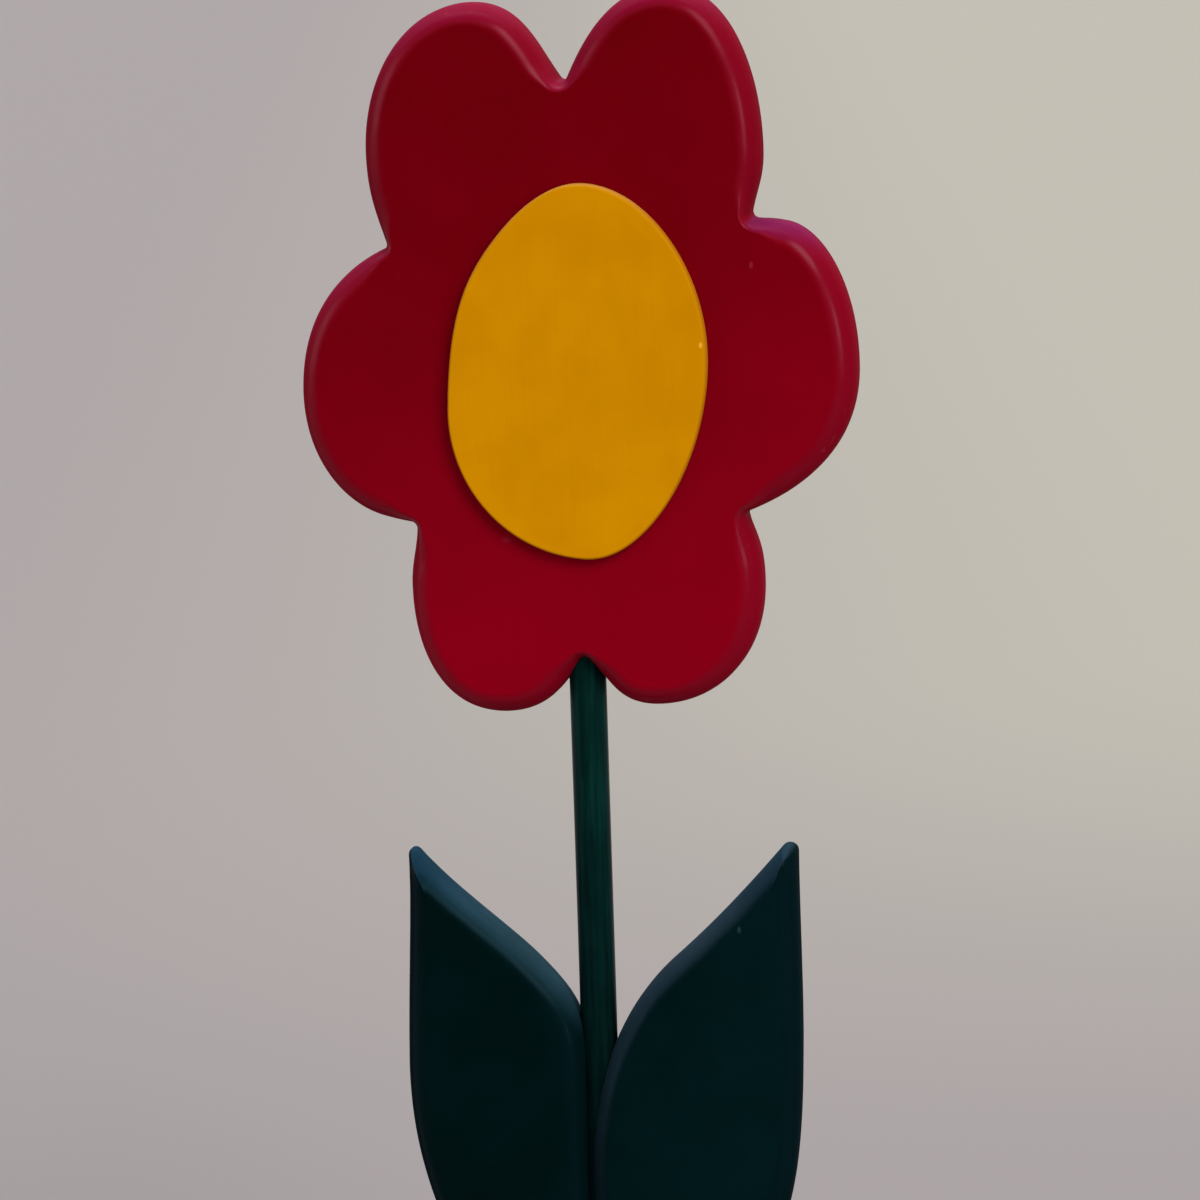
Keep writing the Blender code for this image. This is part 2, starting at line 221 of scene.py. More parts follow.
CENTRE_OUTLINE: Outline = (
    Knot(0.0036, 0.0413, 176, 0.014, 0.008),
    Knot(-0.0173, 0.0277, 233, 0.009, 0.009),
    Knot(-0.0272, -0.0071, 268, 0.019, 0.017),
    Knot(0.0019, -0.0400, 356, 0.017, 0.014),
    Knot(0.0297, 0.0039, 90, 0.022, 0.019),
)

# The leaves are drawn a little way below the foot's top, where the saw levels them
LEAF_TRIM = 0.004
LEFT_EDGE = -0.0029
LEFT_TIP = Corner(-0.0406, 0.1118, 128, 273, 0.010, 0.010, 0.0006)
LEFT_LEAF_OUTLINE: Outline = (
    Corner(LEFT_EDGE, -LEAF_TRIM, 0, 90, 0.002, 0.020, NOTCH_RADIUS),
    Knot(LEFT_EDGE, 0.0626, 90, 0.020, 0.010),
    Knot(-0.0133, 0.0861, 134, 0.013, 0.009),
    LEFT_TIP,
    Knot(-0.0419, 0.0638, 269, 0.016, 0.022),
    Knot(-0.0170, 0.0, 316, 0.026, 0.001),
    Corner(-0.0128, -LEAF_TRIM, 316, 360, 0.001, 0.002, NOTCH_RADIUS),
)

RIGHT_EDGE = -0.0016
RIGHT_TIP = Corner(0.0449, 0.1141, 88, 229, 0.010, 0.008, 0.0014)
RIGHT_LEAF_OUTLINE: Outline = (
    Corner(0.0171, -LEAF_TRIM, 0, 50, 0.002, 0.001, NOTCH_RADIUS),
    Knot(0.0205, 0.0, 37, 0.001, 0.026),
    Knot(0.0445, 0.0628, 88, 0.024, 0.020),
    RIGHT_TIP,
    Knot(0.0180, 0.0864, 221, 0.012, 0.019),
    Knot(RIGHT_EDGE, 0.0369, 270, 0.018, 0.010),
    Corner(RIGHT_EDGE, -LEAF_TRIM, 270, 360, 0.010, 0.002, NOTCH_RADIUS),
)


# Shaping


def ring_of(outline: Outline) -> list[Vector]:
    """Walks along an outline.

    Args:
        outline: its knots and corners.

    Returns:
        Points along the closed curve, about RING_SPACING apart.
    """
    controls = [control for knot in outline for control in knot.controls()]
    points: list[Vector] = []
    for (start, _, leave), (end, arrive, _) in zip(controls, controls[1:] + controls[:1]):
        length = (leave - start).length + (arrive - leave).length + (end - arrive).length
        steps = max(CURVE_STEPS, math.ceil(length / RING_SPACING))
        points += interpolate_bezier(start, leave, arrive, end, steps + 1)[:-1]
    return points


def roundness(outline: Outline, ring: Sequence[Vector]) -> list[float]:
    """Measures how fully the rims are rounded over, which is less in a notch and at a tip.

    Args:
        outline: its knots and corners.
        ring: points along it.

    Returns:
        The share of the full rounding at each point.
    """
    corners = [knot for knot in outline if isinstance(knot, Corner) and knot.radius < CORNER_REACH]
    shares = [1.0] * len(ring)
    for corner in corners:
        notch = (corner.leave - corner.arrive + 180) % 360 < 180
        least = NOTCH_ROUNDING if notch else TIP_ROUNDING
        place = Vector((corner.x, corner.y, 0.0))
        for index, point in enumerate(ring):
            near = min((point - place).length / CORNER_REACH, 1.0)
            shares[index] = min(shares[index], least + (1 - least) * eased(near))
    return shares


def pinched(point: Vector, tip: Corner, half: float) -> Vector:
    """Draws a board's tip back towards its front and its back, so that it ends in a blunt point.

    Args:
        point: a point of the board's rim.
        tip: the outline's corner there.
        half: half of the board's thickness.

    Returns:
        The point's new place.
    """
    near = max(0.0, 1 - math.hypot(point.x - tip.x, point.y - tip.y) / TIP_REACH)
    back = (direction(tip.leave) - direction(tip.arrive)).normalized()
    return point + back * (TIP_PINCH * eased(near) * (point.z / half) ** 2)


def touching_circles(ring: Sequence[Vector]) -> tuple[np.ndarray, np.ndarray]:
    """Measures the room inside an anticlockwise ring.

    Args:
        ring: its points.

    Returns:
        The inward normal of each point, and the radius of the widest circle that touches the ring
        there from inside.
    """
    points = np.array([(point.x, point.y) for point in ring])
    along = np.roll(points, -1, axis=0) - np.roll(points, 1, axis=0)
    along /= np.linalg.norm(along, axis=1, keepdims=True)
    inward = np.stack((-along[:, 1], along[:, 0]), axis=1)
    gap = points[None] - points[:, None]
    ahead = np.einsum("ijk,ik->ij", gap, inward)
    reach = (gap**2).sum(axis=2) / (2 * np.maximum(ahead, WELD))
    reach[ahead <= WELD] = math.inf
    return inward, reach.min(axis=1)


def new_piece(name: str, bm: bmesh.types.BMesh) -> bpy.types.Object:
    """Puts a finished bmesh into the scene.

    Args:
        name: the piece's name.
        bm: its mesh, which is freed.

    Returns:
        The object, at the origin.
    """
    mesh = bpy.data.meshes.new(name)
    bm.to_mesh(mesh)
    bm.free()
    piece = bpy.data.objects.new(name, mesh)
    bpy.context.scene.collection.objects.link(piece)
    return piece


def carve(piece: bpy.types.Object, cutters: Sequence[bpy.types.Object]) -> None:
    """Takes the cutters' shapes out of a piece for good, and throws the cutters away.

    Args:
        piece: the object to carve.
        cutters: closed objects, in the same place.
    """
    for cutter in cutters:
        boolean = piece.modifiers.new(cutter.name, "BOOLEAN")
        boolean.object = cutter
        boolean.operation = "DIFFERENCE"
        boolean.solver = "MANIFOLD"
    graph = bpy.context.evaluated_depsgraph_get()
    carved = bpy.data.meshes.new_from_object(piece.evaluated_get(graph))
    piece.modifiers.clear()
    whole = piece.data
    piece.data = carved
    bpy.data.meshes.remove(whole)
    carved.name = piece.name
    for cutter in cutters:
        bpy.data.objects.remove(cutter, do_unlink=True)


def pare(bm: bmesh.types.BMesh) -> None:
    """Takes off the slivers that hang on a closed shell by one side only.

    Args:
        bm: the shell.
    """
    while True:
        ends = {edge for edge in bm.edges if edge.is_boundary}
        seams = {edge for edge in bm.edges if len(edge.link_faces) > 2}
        slivers = [face for face in bm.faces if ends & set(face.edges) and seams & set(face.edges)]
        if not slivers:
            return
        bmesh.ops.delete(bm, geom=slivers, context="FACES")


def clean(piece: bpy.types.Object) -> None:
    """Takes out the spare points that a carving left, and splits the many-sided faces.

    Args:
        piece: the carved object.
    """
    bm = bmesh.new()
    bm.from_mesh(piece.data)
    bmesh.ops.dissolve_degenerate(bm, edges=bm.edges, dist=WELD)
    spare = [vert for vert in bm.verts if len(vert.link_edges) == 2]
    bmesh.ops.dissolve_verts(bm, verts=spare)
    wide = [face for face in bm.faces if len(face.verts) > 4]
    bmesh.ops.triangulate(bm, faces=wide, quad_method="BEAUTY", ngon_method="BEAUTY")
    bmesh.ops.recalc_face_normals(bm, faces=bm.faces)
    bm.to_mesh(piece.data)
    bm.free()


def round_blank(radius: float, bottom: Vector, length: float, sides: int) -> bmesh.types.BMesh:
    """Turns a plain upright blank.

    Args:
        radius: its radius.
        bottom: the middle of its lower end.
        length: how far it runs up from there.
        sides: how many flats it has.

    Returns:
        Its mesh.
    """
    bm = bmesh.new()
    bmesh.ops.create_cone(bm, cap_ends=True, segments=sides, radius1=radius, radius2=radius, depth=length)
    bmesh.ops.translate(bm, verts=bm.verts, vec=bottom + Vector((0, 0, length / 2)))
    return bm


def ease_rims(bm: bmesh.types.BMesh, reach: float) -> None:
    """Takes the edge off both rims of an upright blank.

    Args:
        bm: the blank.
        reach: how far in from the edge.
    """
    rims = [edge for edge in bm.edges if abs(edge.verts[0].co.z - edge.verts[1].co.z) < WELD]
    bmesh.ops.bevel(
        bm, geom=rims, offset=reach, segments=RIM_STEPS, profile=0.5, affect="EDGES", material=-1
    )


def block(name: str, low: Vector, high: Vector) -> bpy.types.Object:
    """Makes a square cutter, as tall as a box and CUTTER_REACH wider on each of its sides.

    Args:
        name: its name.
        low: the box's lowest corner.
        high: the box's highest corner.

    Returns:
        The cutter.
    """
    bm = bmesh.new()
    bmesh.ops.create_cube(bm, size=1.0)
    reach = Vector((2 * CUTTER_REACH, 2 * CUTTER_REACH, 0))
    bmesh.ops.scale(bm, verts=bm.verts, vec=high - low + reach)
    bmesh.ops.translate(bm, verts=bm.verts, vec=(low + high) / 2)
    return new_piece(name, bm)


def soften(mesh: bpy.types.Mesh) -> None:
    """Shades a mesh smooth, apart from its sharp turns."""
    mesh.shade_smooth()
    mesh.set_sharp_from_angle(angle=SHARP_ANGLE)


@dataclass(frozen=True)
class HandWork:
    """How far a hand-sanded and brushed surface strays from true."""

    swell: float = 0.00008
    swell_length: float = 0.026
    ripple: float = 0.000018
    ripple_length: float = 0.006
    seed: float = 0.0

    def apply(self, mesh: bpy.types.Mesh) -> None:
        """Moves every vertex of a mesh in or out by its own small amount.

        Args:
            mesh: the mesh, in place.
        """
        shift = Vector((self.seed, self.seed * 1.7, -self.seed))
        moved = []
        for vert in mesh.vertices:
            swell = self.swell * noise.noise(vert.co / self.swell_length + shift)
            ripple = self.ripple * noise.noise(vert.co / self.ripple_length + shift)
            moved.append(vert.co + vert.normal * (swell + ripple))
        for vert, place in zip(mesh.vertices, moved):
            vert.co = place
        mesh.update()


@dataclass
class RoutedBoard:
    """A piece sawn from board along an outline, with its rims rounded over by hand.

    The board lies in its own XY plane with its front up, and place puts it where it belongs. A rounding
    is given as how far in from the outline it reaches and how far down the wall. It is slighter by a
    notch, where the sanding block doesn't reach. spread is how far the rims stand out past the outline,
    and tips are the corners that end in a blunt point.
    """

    outline: Outline
    thickness: float
    front_round: tuple[float, float]
    back_round: tuple[float, float]
    place: Matrix
    spread: float = 0.0
    tips: tuple[Corner, ...] = ()
    ring: list[Vector] = field(init=False)
    inward: np.ndarray = field(init=False)
    room: np.ndarray = field(init=False)
    ease: list[float] = field(init=False)

    def __post_init__(self) -> None:
        """Walks the outline once for everything that follows it."""
        self.ring = ring_of(self.outline)
        self.inward, radii = touching_circles(self.ring)
        self.room = radii * FULLEST_INSET
        self.ease = roundness(self.outline, self.ring)

    def inside(self, index: int, depth: float) -> tuple[float, float]:
        """Finds the place a depth in from the outline.

        Args:
            index: the point of the ring to start from.
            depth: how far in.

        Returns:
            The place. By a tip too narrow for the depth it is the nearest one that has the room, so
            the rim's rings draw back from the tip as they do under sandpaper.
        """
        count = len(self.ring)
        if self.room[index] >= depth:
            way, here = self.inward[index], self.ring[index]
            return here.x + way[0] * depth, here.y + way[1] * depth
        for step in range(1, count // 2):
            for turn in (-1, 1):
                far, near = (index + turn * step) % count, (index + turn * (step - 1)) % count
                if self.room[far] < depth:
                    continue
                low, high = self.room[near], self.room[far]
                share = (depth - low) / (high - low) if math.isfinite(high) else 1.0
                here = self.ring[near].lerp(self.ring[far], share)
                way = self.inward[near] * (1 - share) + self.inward[far] * share
                return here.x + way[0] * depth, here.y + way[1] * depth
        raise ValueError(f"no room for a depth of {depth}")

    def level(self, side: int, rounding: tuple[float, float], turn: float, extra: float) -> list[Vector]:
        """Finds one ring of the rounded rim.

        Args:
            side: +1 for the front and -1 for the back.
            rounding: how far in and how far down the rounding reaches.
            turn: how far over the rounding the ring lies, from 0 at the wall to SHOULDER_ANGLE.
            extra: how far in it lies from there.

        Returns:
            The ring's points.
        """
        reach, drop = rounding
        share = (1 - math.cos(turn)) / (1 - math.cos(SHOULDER_ANGLE))
        rise = drop * math.sin(turn) / math.sin(SHOULDER_ANGLE)
        height = side * (self.thickness / 2 - drop + rise)
        points = [
            Vector((*self.inside(index, reach * ease * share + extra - self.spread), height))
            for index, ease in enumerate(self.ease)
        ]
        for tip in self.tips:
            points = [pinched(point, tip, self.thickness / 2) for point in points]
        return points

    def side_levels(self, side: int, rounding: tuple[float, float]) -> list[list[Vector]]:
        """Finds all the rings of one rim.

        Args:
            side: +1 for the front and -1 for the back.
            rounding: how far in and how far down the rounding reaches.

        Returns:
            The rings, from the wall inwards.
        """
        turns = [SHOULDER_ANGLE * step / ROUNDING_STEPS for step in range(ROUNDING_STEPS + 1)]
        levels = [self.level(side, rounding, turn, 0.0) for turn in turns]
        return levels + [self.level(side, rounding, SHOULDER_ANGLE, extra) for extra in SUPPORT_INSETS]

    def rings(self) -> list[list[Vector]]:
        """Finds every ring of the board.

        Returns:
            The rings, from the middle of its back round to the middle of its front.
        """
        back = self.side_levels(-1, self.back_round)
        front = self.side_levels(1, self.front_round)
        wall = []
        for row in range(1, WALL_ROWS):
            share = row / WALL_ROWS
            wall.append([low.lerp(high, share) for low, high in zip(back[0], front[0])])
        return back[::-1] + wall + front

    def grid(self, bm: bmesh.types.BMesh, caps: list[bmesh.types.BMFace]) -> None:
        """Cuts the two wide faces into cells, so that they can be shaped by hand work.

        Args:
            bm: the board's shell.
            caps: the wide faces.
        """
        for axis in (0, 1):
            low = min(point[axis] for point in self.ring)
            high = max(point[axis] for point in self.ring)
            normal = Vector((1, 0, 0)) if axis == 0 else Vector((0, 1, 0))
            for cut in range(1, math.ceil((high - low) / CAP_CELL)):
                edges = {edge for face in caps for edge in face.edges}
                verts = {vert for face in caps for vert in face.verts}
                whole = list(verts) + list(edges) + caps
                level = normal * (low + cut * CAP_CELL)
                made = bmesh.ops.bisect_plane(bm, geom=whole, dist=WELD, plane_co=level, plane_no=normal)
                caps = [item for item in made["geom"] if isinstance(item, bmesh.types.BMFace)]

    def body(self, name: str) -> bpy.types.Object:
        """Makes the board.

        Args:
            name: the piece's name.

        Returns:
            The board, in place.
        """
        bm = bmesh.new()
        rings = self.rings()
        cap = bm.faces.new([bm.verts.new(point) for point in rings[0]])
        for ring in rings[1:]:
            cap = bmesh.ops.extrude_discrete_faces(bm, faces=[cap])["faces"][0]
            for loop, point in zip(cap.loops, ring):
                loop.vert.co = point
        hole = [edge for edge in bm.edges if edge.is_boundary]
        back = bmesh.ops.edgeloop_fill(bm, edges=hole)["faces"][0]
        self.grid(bm, [cap, back])
        bmesh.ops.remove_doubles(bm, verts=bm.verts, dist=WELD)
        pare(bm)
        bmesh.ops.recalc_face_normals(bm, faces=bm.faces)
        bmesh.ops.transform(bm, matrix=self.place, verts=bm.verts)
        return new_piece(name, bm)

    def sand(self, piece: bpy.types.Object, work: HandWork) -> None:
        """Cleans the sawn board up and sands it by hand.

        Args:
            piece: the board, in place.
            work: how far the hand strays.
        """
        clean(piece)
        work.apply(piece.data)
        self.mark_rims(piece.data)

    def mark_rims(self, mesh: bpy.types.Mesh) -> None:
        """Notes how each vertex lies to the outline, for the brush strokes, the worn edges and the
        painted shade and highlight on the rims.

        Args:
            mesh: the finished mesh. It gets "inset", the distance in from the outline, and "rim",
                a vector whose first two numbers go round with the outline and whose third goes over
                the rim from back to front.
        """
        count = len(self.ring)
        steps = [(self.ring[(i + 1) % count] - point).length for i, point in enumerate(self.ring)]
        length = sum(steps)
        starts = np.concatenate(([0.0], np.cumsum(steps)))
        tree = kdtree.KDTree(count)
        for index, point in enumerate(self.ring):
            tree.insert(point, index)
        tree.balance()
        home = self.place.inverted()
        inset = np.empty(len(mesh.vertices), np.float32)
        rim = np.empty((len(mesh.vertices), 3), np.float32)
        for number, vert in enumerate(mesh.vertices):
            here = home @ vert.co
            flat = Vector((here.x, here.y, 0.0))
            _, index, _ = tree.find(flat)
            best = math.inf
            for start in (index - 1, index):
                first, second = self.ring[start], self.ring[(start + 1) % count]
                run = second - first
                share = max(0.0, min(1.0, (flat - first).dot(run) / run.length_squared))
                distance = (flat - first - run * share).length
                if distance < best:
                    best = distance
                    along = starts[start % count] + run.length * share
            turn = math.tau * along / length
            radius = length / math.tau
            inset[number] = best / self.ease[index]
            over = here.z + math.copysign(best, here.z)
            rim[number] = (radius * math.cos(turn), radius * math.sin(turn), over)
        mesh.attributes.new("inset", "FLOAT", "POINT").data.foreach_set("value", inset)
        mesh.attributes.new("rim", "FLOAT_VECTOR", "POINT").data.foreach_set("vector", rim.ravel())


# Finishes

Node = bpy.types.Node
Socket = bpy.types.NodeSocket
Outputs = bpy.types.bpy_prop_collection
Colour = tuple[float, float, float]
Value = Union[Socket, float, Sequence[float]]
Values = dict[Union[str, int], Value]


@dataclass
class Graph:
    """A node tree in the making, with short ways to add and join its nodes."""

    tree: bpy.types.NodeTree

    def feed(self, node: Node, values: Values) -> None:
        """Gives some of a node's inputs a link or a fixed value each.

        Args:
            node: the node.
            values: what each input gets, by the input's name or number.
        """
        for name, value in values.items():
            if isinstance(value, bpy.types.NodeSocket):
                self.tree.links.new(value, node.inputs[name])
            else:
                node.inputs[name].default_value = value

    def add(self, kind: str, values: Values | None = None, **settings: object) -> Node:
        """Adds a node.

        Args:
            kind: its type.
            values: what its inputs get.
            settings: its own settings, which come before its inputs.

        Returns:
            The node.
        """
        node = self.tree.nodes.new(kind)
        for name, value in settings.items():
            setattr(node, name, value)
        self.feed(node, values or {})
        return node

    def place(self) -> Socket:
        """Object coordinates, in metres."""
        return self.add("ShaderNodeTexCoord").outputs["Object"]

    def maths(self, operation: str, *parts: Value) -> Socket:
        """One sum, such as MULTIPLY or ADD."""
        return self.add("ShaderNodeMath", dict(enumerate(parts)), operation=operation).outputs[0]

    def product(self, *parts: Value) -> Socket:
        """All the parts multiplied together."""
        return reduce(lambda first, second: self.maths("MULTIPLY", first, second), parts)

    def total(self, *parts: Value) -> Socket:
        """All the parts added up."""
        return reduce(lambda first, second: self.maths("ADD", first, second), parts)

    def apart(self, first: Socket, second: float) -> Socket:
        """How far two numbers lie apart."""
        return self.maths("ABSOLUTE", self.maths("SUBTRACT", first, second))

    def scaled(self, vector: Socket, scale: Value) -> Socket:
        """A vector with each of its numbers multiplied by its own scale."""
        return self.add("ShaderNodeVectorMath", {0: vector, 1: scale}, operation="MULTIPLY").outputs[0]

    def along(self, vector: Socket, way: Value) -> Socket:
        """How far a vector reaches along a way."""
        node = self.add("ShaderNodeVectorMath", {0: vector, 1: way}, operation="DOT_PRODUCT")
        return node.outputs["Value"]

    def cloud(self, vector: Socket, scale: float, detail: float, rough: float) -> Socket:
        """Makes soft noise.

        Args:
            vector: where on the surface.
            scale: how many clouds there are to each unit of the vector.
            detail: how many rounds of finer clouds lie over them.
            rough: how strong the finer ones are.

        Returns:
            The noise, from 0 to 1.
        """
        values = {"Vector": vector, "Scale": scale, "Detail": detail, "Roughness": rough}
        return self.add("ShaderNodeTexNoise", values).outputs["Fac"]

    def fade(self, value: Socket, low: Value, high: Value, start: float = 0, end: float = 1) -> Socket:
        """Makes a smooth step.

        Args:
            value: the number that drives it.
            low: the value where it starts.
            high: the value where it ends.
            start: what it gives at low and under it.
            end: what it gives at high and over it.

        Returns:
            The stepped number.
        """
        values = {"Value": value, "From Min": low, "From Max": high, "To Min": start, "To Max": end}
        return self.add("ShaderNodeMapRange", values, interpolation_type="SMOOTHSTEP").outputs["Result"]

    def slope(self, place: Socket, start: Point, end: Point) -> Socket:
        """Makes a smooth step through space.

        Args:
            place: Object coordinates.
            start: the point where it is 0.
            end: the point where it is 1.

        Returns:
            The stepped number.
        """
        way = Vector(end) - Vector(start)
        way /= way.length_squared
        low = way.dot(Vector(start))
        return self.fade(self.along(place, way), low, low + 1.0)

    def mixed(self, share: Value, first: Value, second: Value) -> Socket:
        """A share of the second colour laid over the first."""
        values = {0: share, 6: opaque(first), 7: opaque(second)}
        return self.add("ShaderNodeMix", values, data_type="RGBA").outputs[2]

    def blended(self, share: Value, first: Value, second: Value) -> Socket:
        """The first number, with a share of it given up to the second."""
        return self.add("ShaderNodeMix", {0: share, 2: first, 3: second}, data_type="FLOAT").outputs[0]

    def relief(self, shader: Node, height: Socket) -> None:
        """Gives a shader a fine relief, whose height is in metres."""
        bump = self.add("ShaderNodeBump", {"Strength": 1.0, "Distance": 1.0, "Height": height})
        self.feed(shader, {"Normal": bump.outputs["Normal"]})


def opaque(colour: Socket | Colour) -> Socket | tuple[float, float, float, float]:
    """A plain colour with full alpha, or the output as it is."""
    return colour if isinstance(colour, bpy.types.NodeSocket) else (*colour, 1.0)


@dataclass(frozen=True)
class Effect:
    """A shader node group that several finishes share: its inputs with their values, and its outputs."""

    name: str
    inputs: dict[str, float | Point]
    outputs: tuple[str, ...]

    def start(self) -> tuple[Graph, Outputs, Node]:
        """Makes the empty group.

        Returns:
            Its graph, what it is given, and its output node.
        """
        tree = bpy.data.node_groups.new(self.name, "ShaderNodeTree")
        for name, value in self.inputs.items():
            kind = "NodeSocketVector" if isinstance(value, tuple) else "NodeSocketFloat"
            socket = tree.interface.new_socket(name, in_out="INPUT", socket_type=kind)
            socket.default_value = value
        for name in self.outputs:
            tree.interface.new_socket(name, in_out="OUTPUT", socket_type="NodeSocketFloat")
        graph = Graph(tree)
        return graph, graph.add("NodeGroupInput").outputs, graph.add("NodeGroupOutput")


def build_brushwork() -> bpy.types.NodeTree:
    """Lays enamel on with a brush.

    Returns:
        A group that gives the clouds of tone, the fine strokes and the height of both in metres.
    """
    effect = Effect(
        "brushwork",
        {
            "Place": ORIGIN,
            "Rim": ORIGIN,
            "Inset": 1.0,
            "Stroke Scale": Strokes.UPRIGHT.value,
            "Stroke Depth": 0.00001,
            "Peel Depth": 0.00001,
        },
        ("Clouds", "Strokes", "Height"),
    )
    graph, given, put = effect.start()
    face = graph.cloud(graph.scaled(given["Place"], given["Stroke Scale"]), 1.0, 3.0, 0.6)
    rim = graph.cloud(graph.scaled(given["Rim"], Strokes.ROUND_THE_RIM.value), 1.0, 3.0, 0.6)
    strokes = graph.blended(graph.fade(given["Inset"], *STROKES_TURN), rim, face)
    ridges = graph.product(strokes, given["Stroke Depth"])
    dimples = graph.product(graph.cloud(given["Place"], 260.0, 1.0, 0.4), given["Peel Depth"])
    shown = {
        "Clouds": graph.fade(graph.cloud(given["Place"], 42.0, 3.0, 0.55), *CLOUD_SPAN),
        "Strokes": graph.fade(strokes, *CLOUD_SPAN),
        "Height": graph.total(ridges, dimples),
    }
    graph.feed(put, shown)
    return graph.tree


def build_worn_and_shaded_rim() -> bpy.types.NodeTree:
    """Wears the rims of a painted board, and marks where painted shade darkens them.

    Returns:
        A group that gives masks of the rounded edge, which the painted shade and highlight follow, its
        dull end grain, the glossy bead where the paint drew together, and small rubbed places.
    """
    effect = Effect(
        "worn_rim",
        {"Place": ORIGIN, "Inset": 1.0, "Rounding": BOARD_ROUNDING, "Rubbing": 0.3},
        ("Rim", "Dull", "Bead", "Rubbed"),
    )
    graph, given, put = effect.start()
    depth = graph.maths("DIVIDE", given["Inset"], given["Rounding"])
    wander = graph.cloud(given["Place"], 130.0, 2.0, 0.6)
    reach = graph.fade(wander, 0.2, 0.8, 0.85, 1.10)
    bead = graph.fade(graph.apart(depth, BEAD_DEPTH), 0.05, 0.32, 1.0, 0.0)
    spots = graph.fade(graph.cloud(given["Place"], 330.0, 4.0, 0.65), 0.63, 0.70)
    crest = graph.fade(graph.apart(depth, CREST_DEPTH), 0.0, 0.2, 1.0, 0.0)
    shown = {
        "Rim": graph.fade(depth, graph.product(reach, 0.55), reach, 1.0, 0.0),
        "Dull": graph.fade(depth, 0.08, 0.5, 1.0, 0.0),
        "Bead": graph.product(bead, graph.fade(wander, 0.3, 0.6, 0.55, 1.0)),
        "Rubbed": graph.product(spots, crest, given["Rubbing"]),
    }
    graph.feed(put, shown)
    return graph.tree


def build_dust_and_highlight() -> bpy.types.NodeTree:
    """Leaves fine dust on a surface, and paints a highlight on what faces one way.

    Returns:
        A group that gives masks of the fine dust on whatever looks up, and of the painted highlight
        on what faces the given way, which stands in for light falling from there.
    """
    effect = Effect(
        "settled_dust",
        {"Place": ORIGIN, "Amount": 0.1, "Toward": UPWARD, "Bleach From": 0.0},
        ("Dust", "Bleached"),
    )
    graph, given, put = effect.start()
    normal = graph.add("ShaderNodeNewGeometry").outputs["Normal"]
    upward = graph.fade(graph.along(normal, UPWARD), 0.35, 0.95)
    patches = graph.fade(graph.cloud(given["Place"], 190.0, 4.0, 0.65), 0.35, 0.7, 0.35, 1.0)
    # Painted highlight: lighter where the surface faces the given way, as if light fell on it from there
    faced = graph.fade(graph.along(normal, given["Toward"]), given["Bleach From"], 0.85)
    drift = graph.fade(graph.cloud(given["Place"], 90.0, 3.0, 0.6), *CLOUD_SPAN, 0.75, 1.0)
    shown = {
        "Dust": graph.product(upward, patches, given["Amount"]),
        "Bleached": graph.product(faced, drift),
    }
    graph.feed(put, shown)
    return graph.tree


@dataclass
class Effects:
    """The shared shader node groups, each built once."""

    brushwork: bpy.types.NodeTree = field(default_factory=build_brushwork)
    worn_rim: bpy.types.NodeTree = field(default_factory=build_worn_and_shaded_rim)
    settled_dust: bpy.types.NodeTree = field(default_factory=build_dust_and_highlight)

    def dusted(self, graph: Graph, place: Socket, colour: Socket, amount: float, dust: Colour) -> Socket:
        """Lets dust settle on a plain finish.

        Args:
            graph: the material's graph.
            place: Object coordinates.
            colour: the finish's own colour.
            amount: how thick the dust lies on what looks straight up.
            dust: the dust's colour.

        Returns:
            The dusty colour.
        """
        values = {"Place": place, "Amount": amount}
        group = graph.add("ShaderNodeGroup", values, node_tree=self.settled_dust)
        return graph.mixed(group.outputs["Dust"], colour, dust)


def new_material(name: str, colour: Colour) -> tuple[bpy.types.Material, Graph, Node]:
    """Starts a material.

    Args:
        name: its name.
        colour: its plain colour, for a viewport.

    Returns:
        The material, its graph and its shader node.
    """
    material = bpy.data.materials.new(name)
    material.use_nodes = True
    material.diffuse_color = opaque(colour)
    return material, Graph(material.node_tree), material.node_tree.nodes["Principled BSDF"]


@dataclass(frozen=True)
class NibOrGlint:
    """A small spot of its own colour: a knock or proud drop in the paint, and on the disc a painted
    glint.

    place is its middle, reach is how far it goes each way, and share is its strength in the middle.
    """

    place: Point
    reach: Point
    colour: Colour
    share: float

    def mask(self, graph: Graph, place: Socket) -> Socket:
        """Marks the spot.

        Args:
            graph: the material's graph.
            place: Object coordinates.

        Returns:
            The mask, up to share in the middle.
        """
        scale = [1 / part for part in self.reach]
        shift = [-part * by for part, by in zip(self.place, scale)]
        mapping = graph.add("ShaderNodeMapping", {"Vector": place, "Scale": scale, "Location": shift})
        length = graph.add("ShaderNodeVectorMath", {0: mapping.outputs["Vector"]}, operation="LENGTH")
        return graph.fade(length.outputs["Value"], 0.3, 1.0, self.share, 0.0)


class Layers(NamedTuple):
    """What the shared effects give within one paint."""

    brush: Outputs
    worn: Outputs
    dust: Outputs


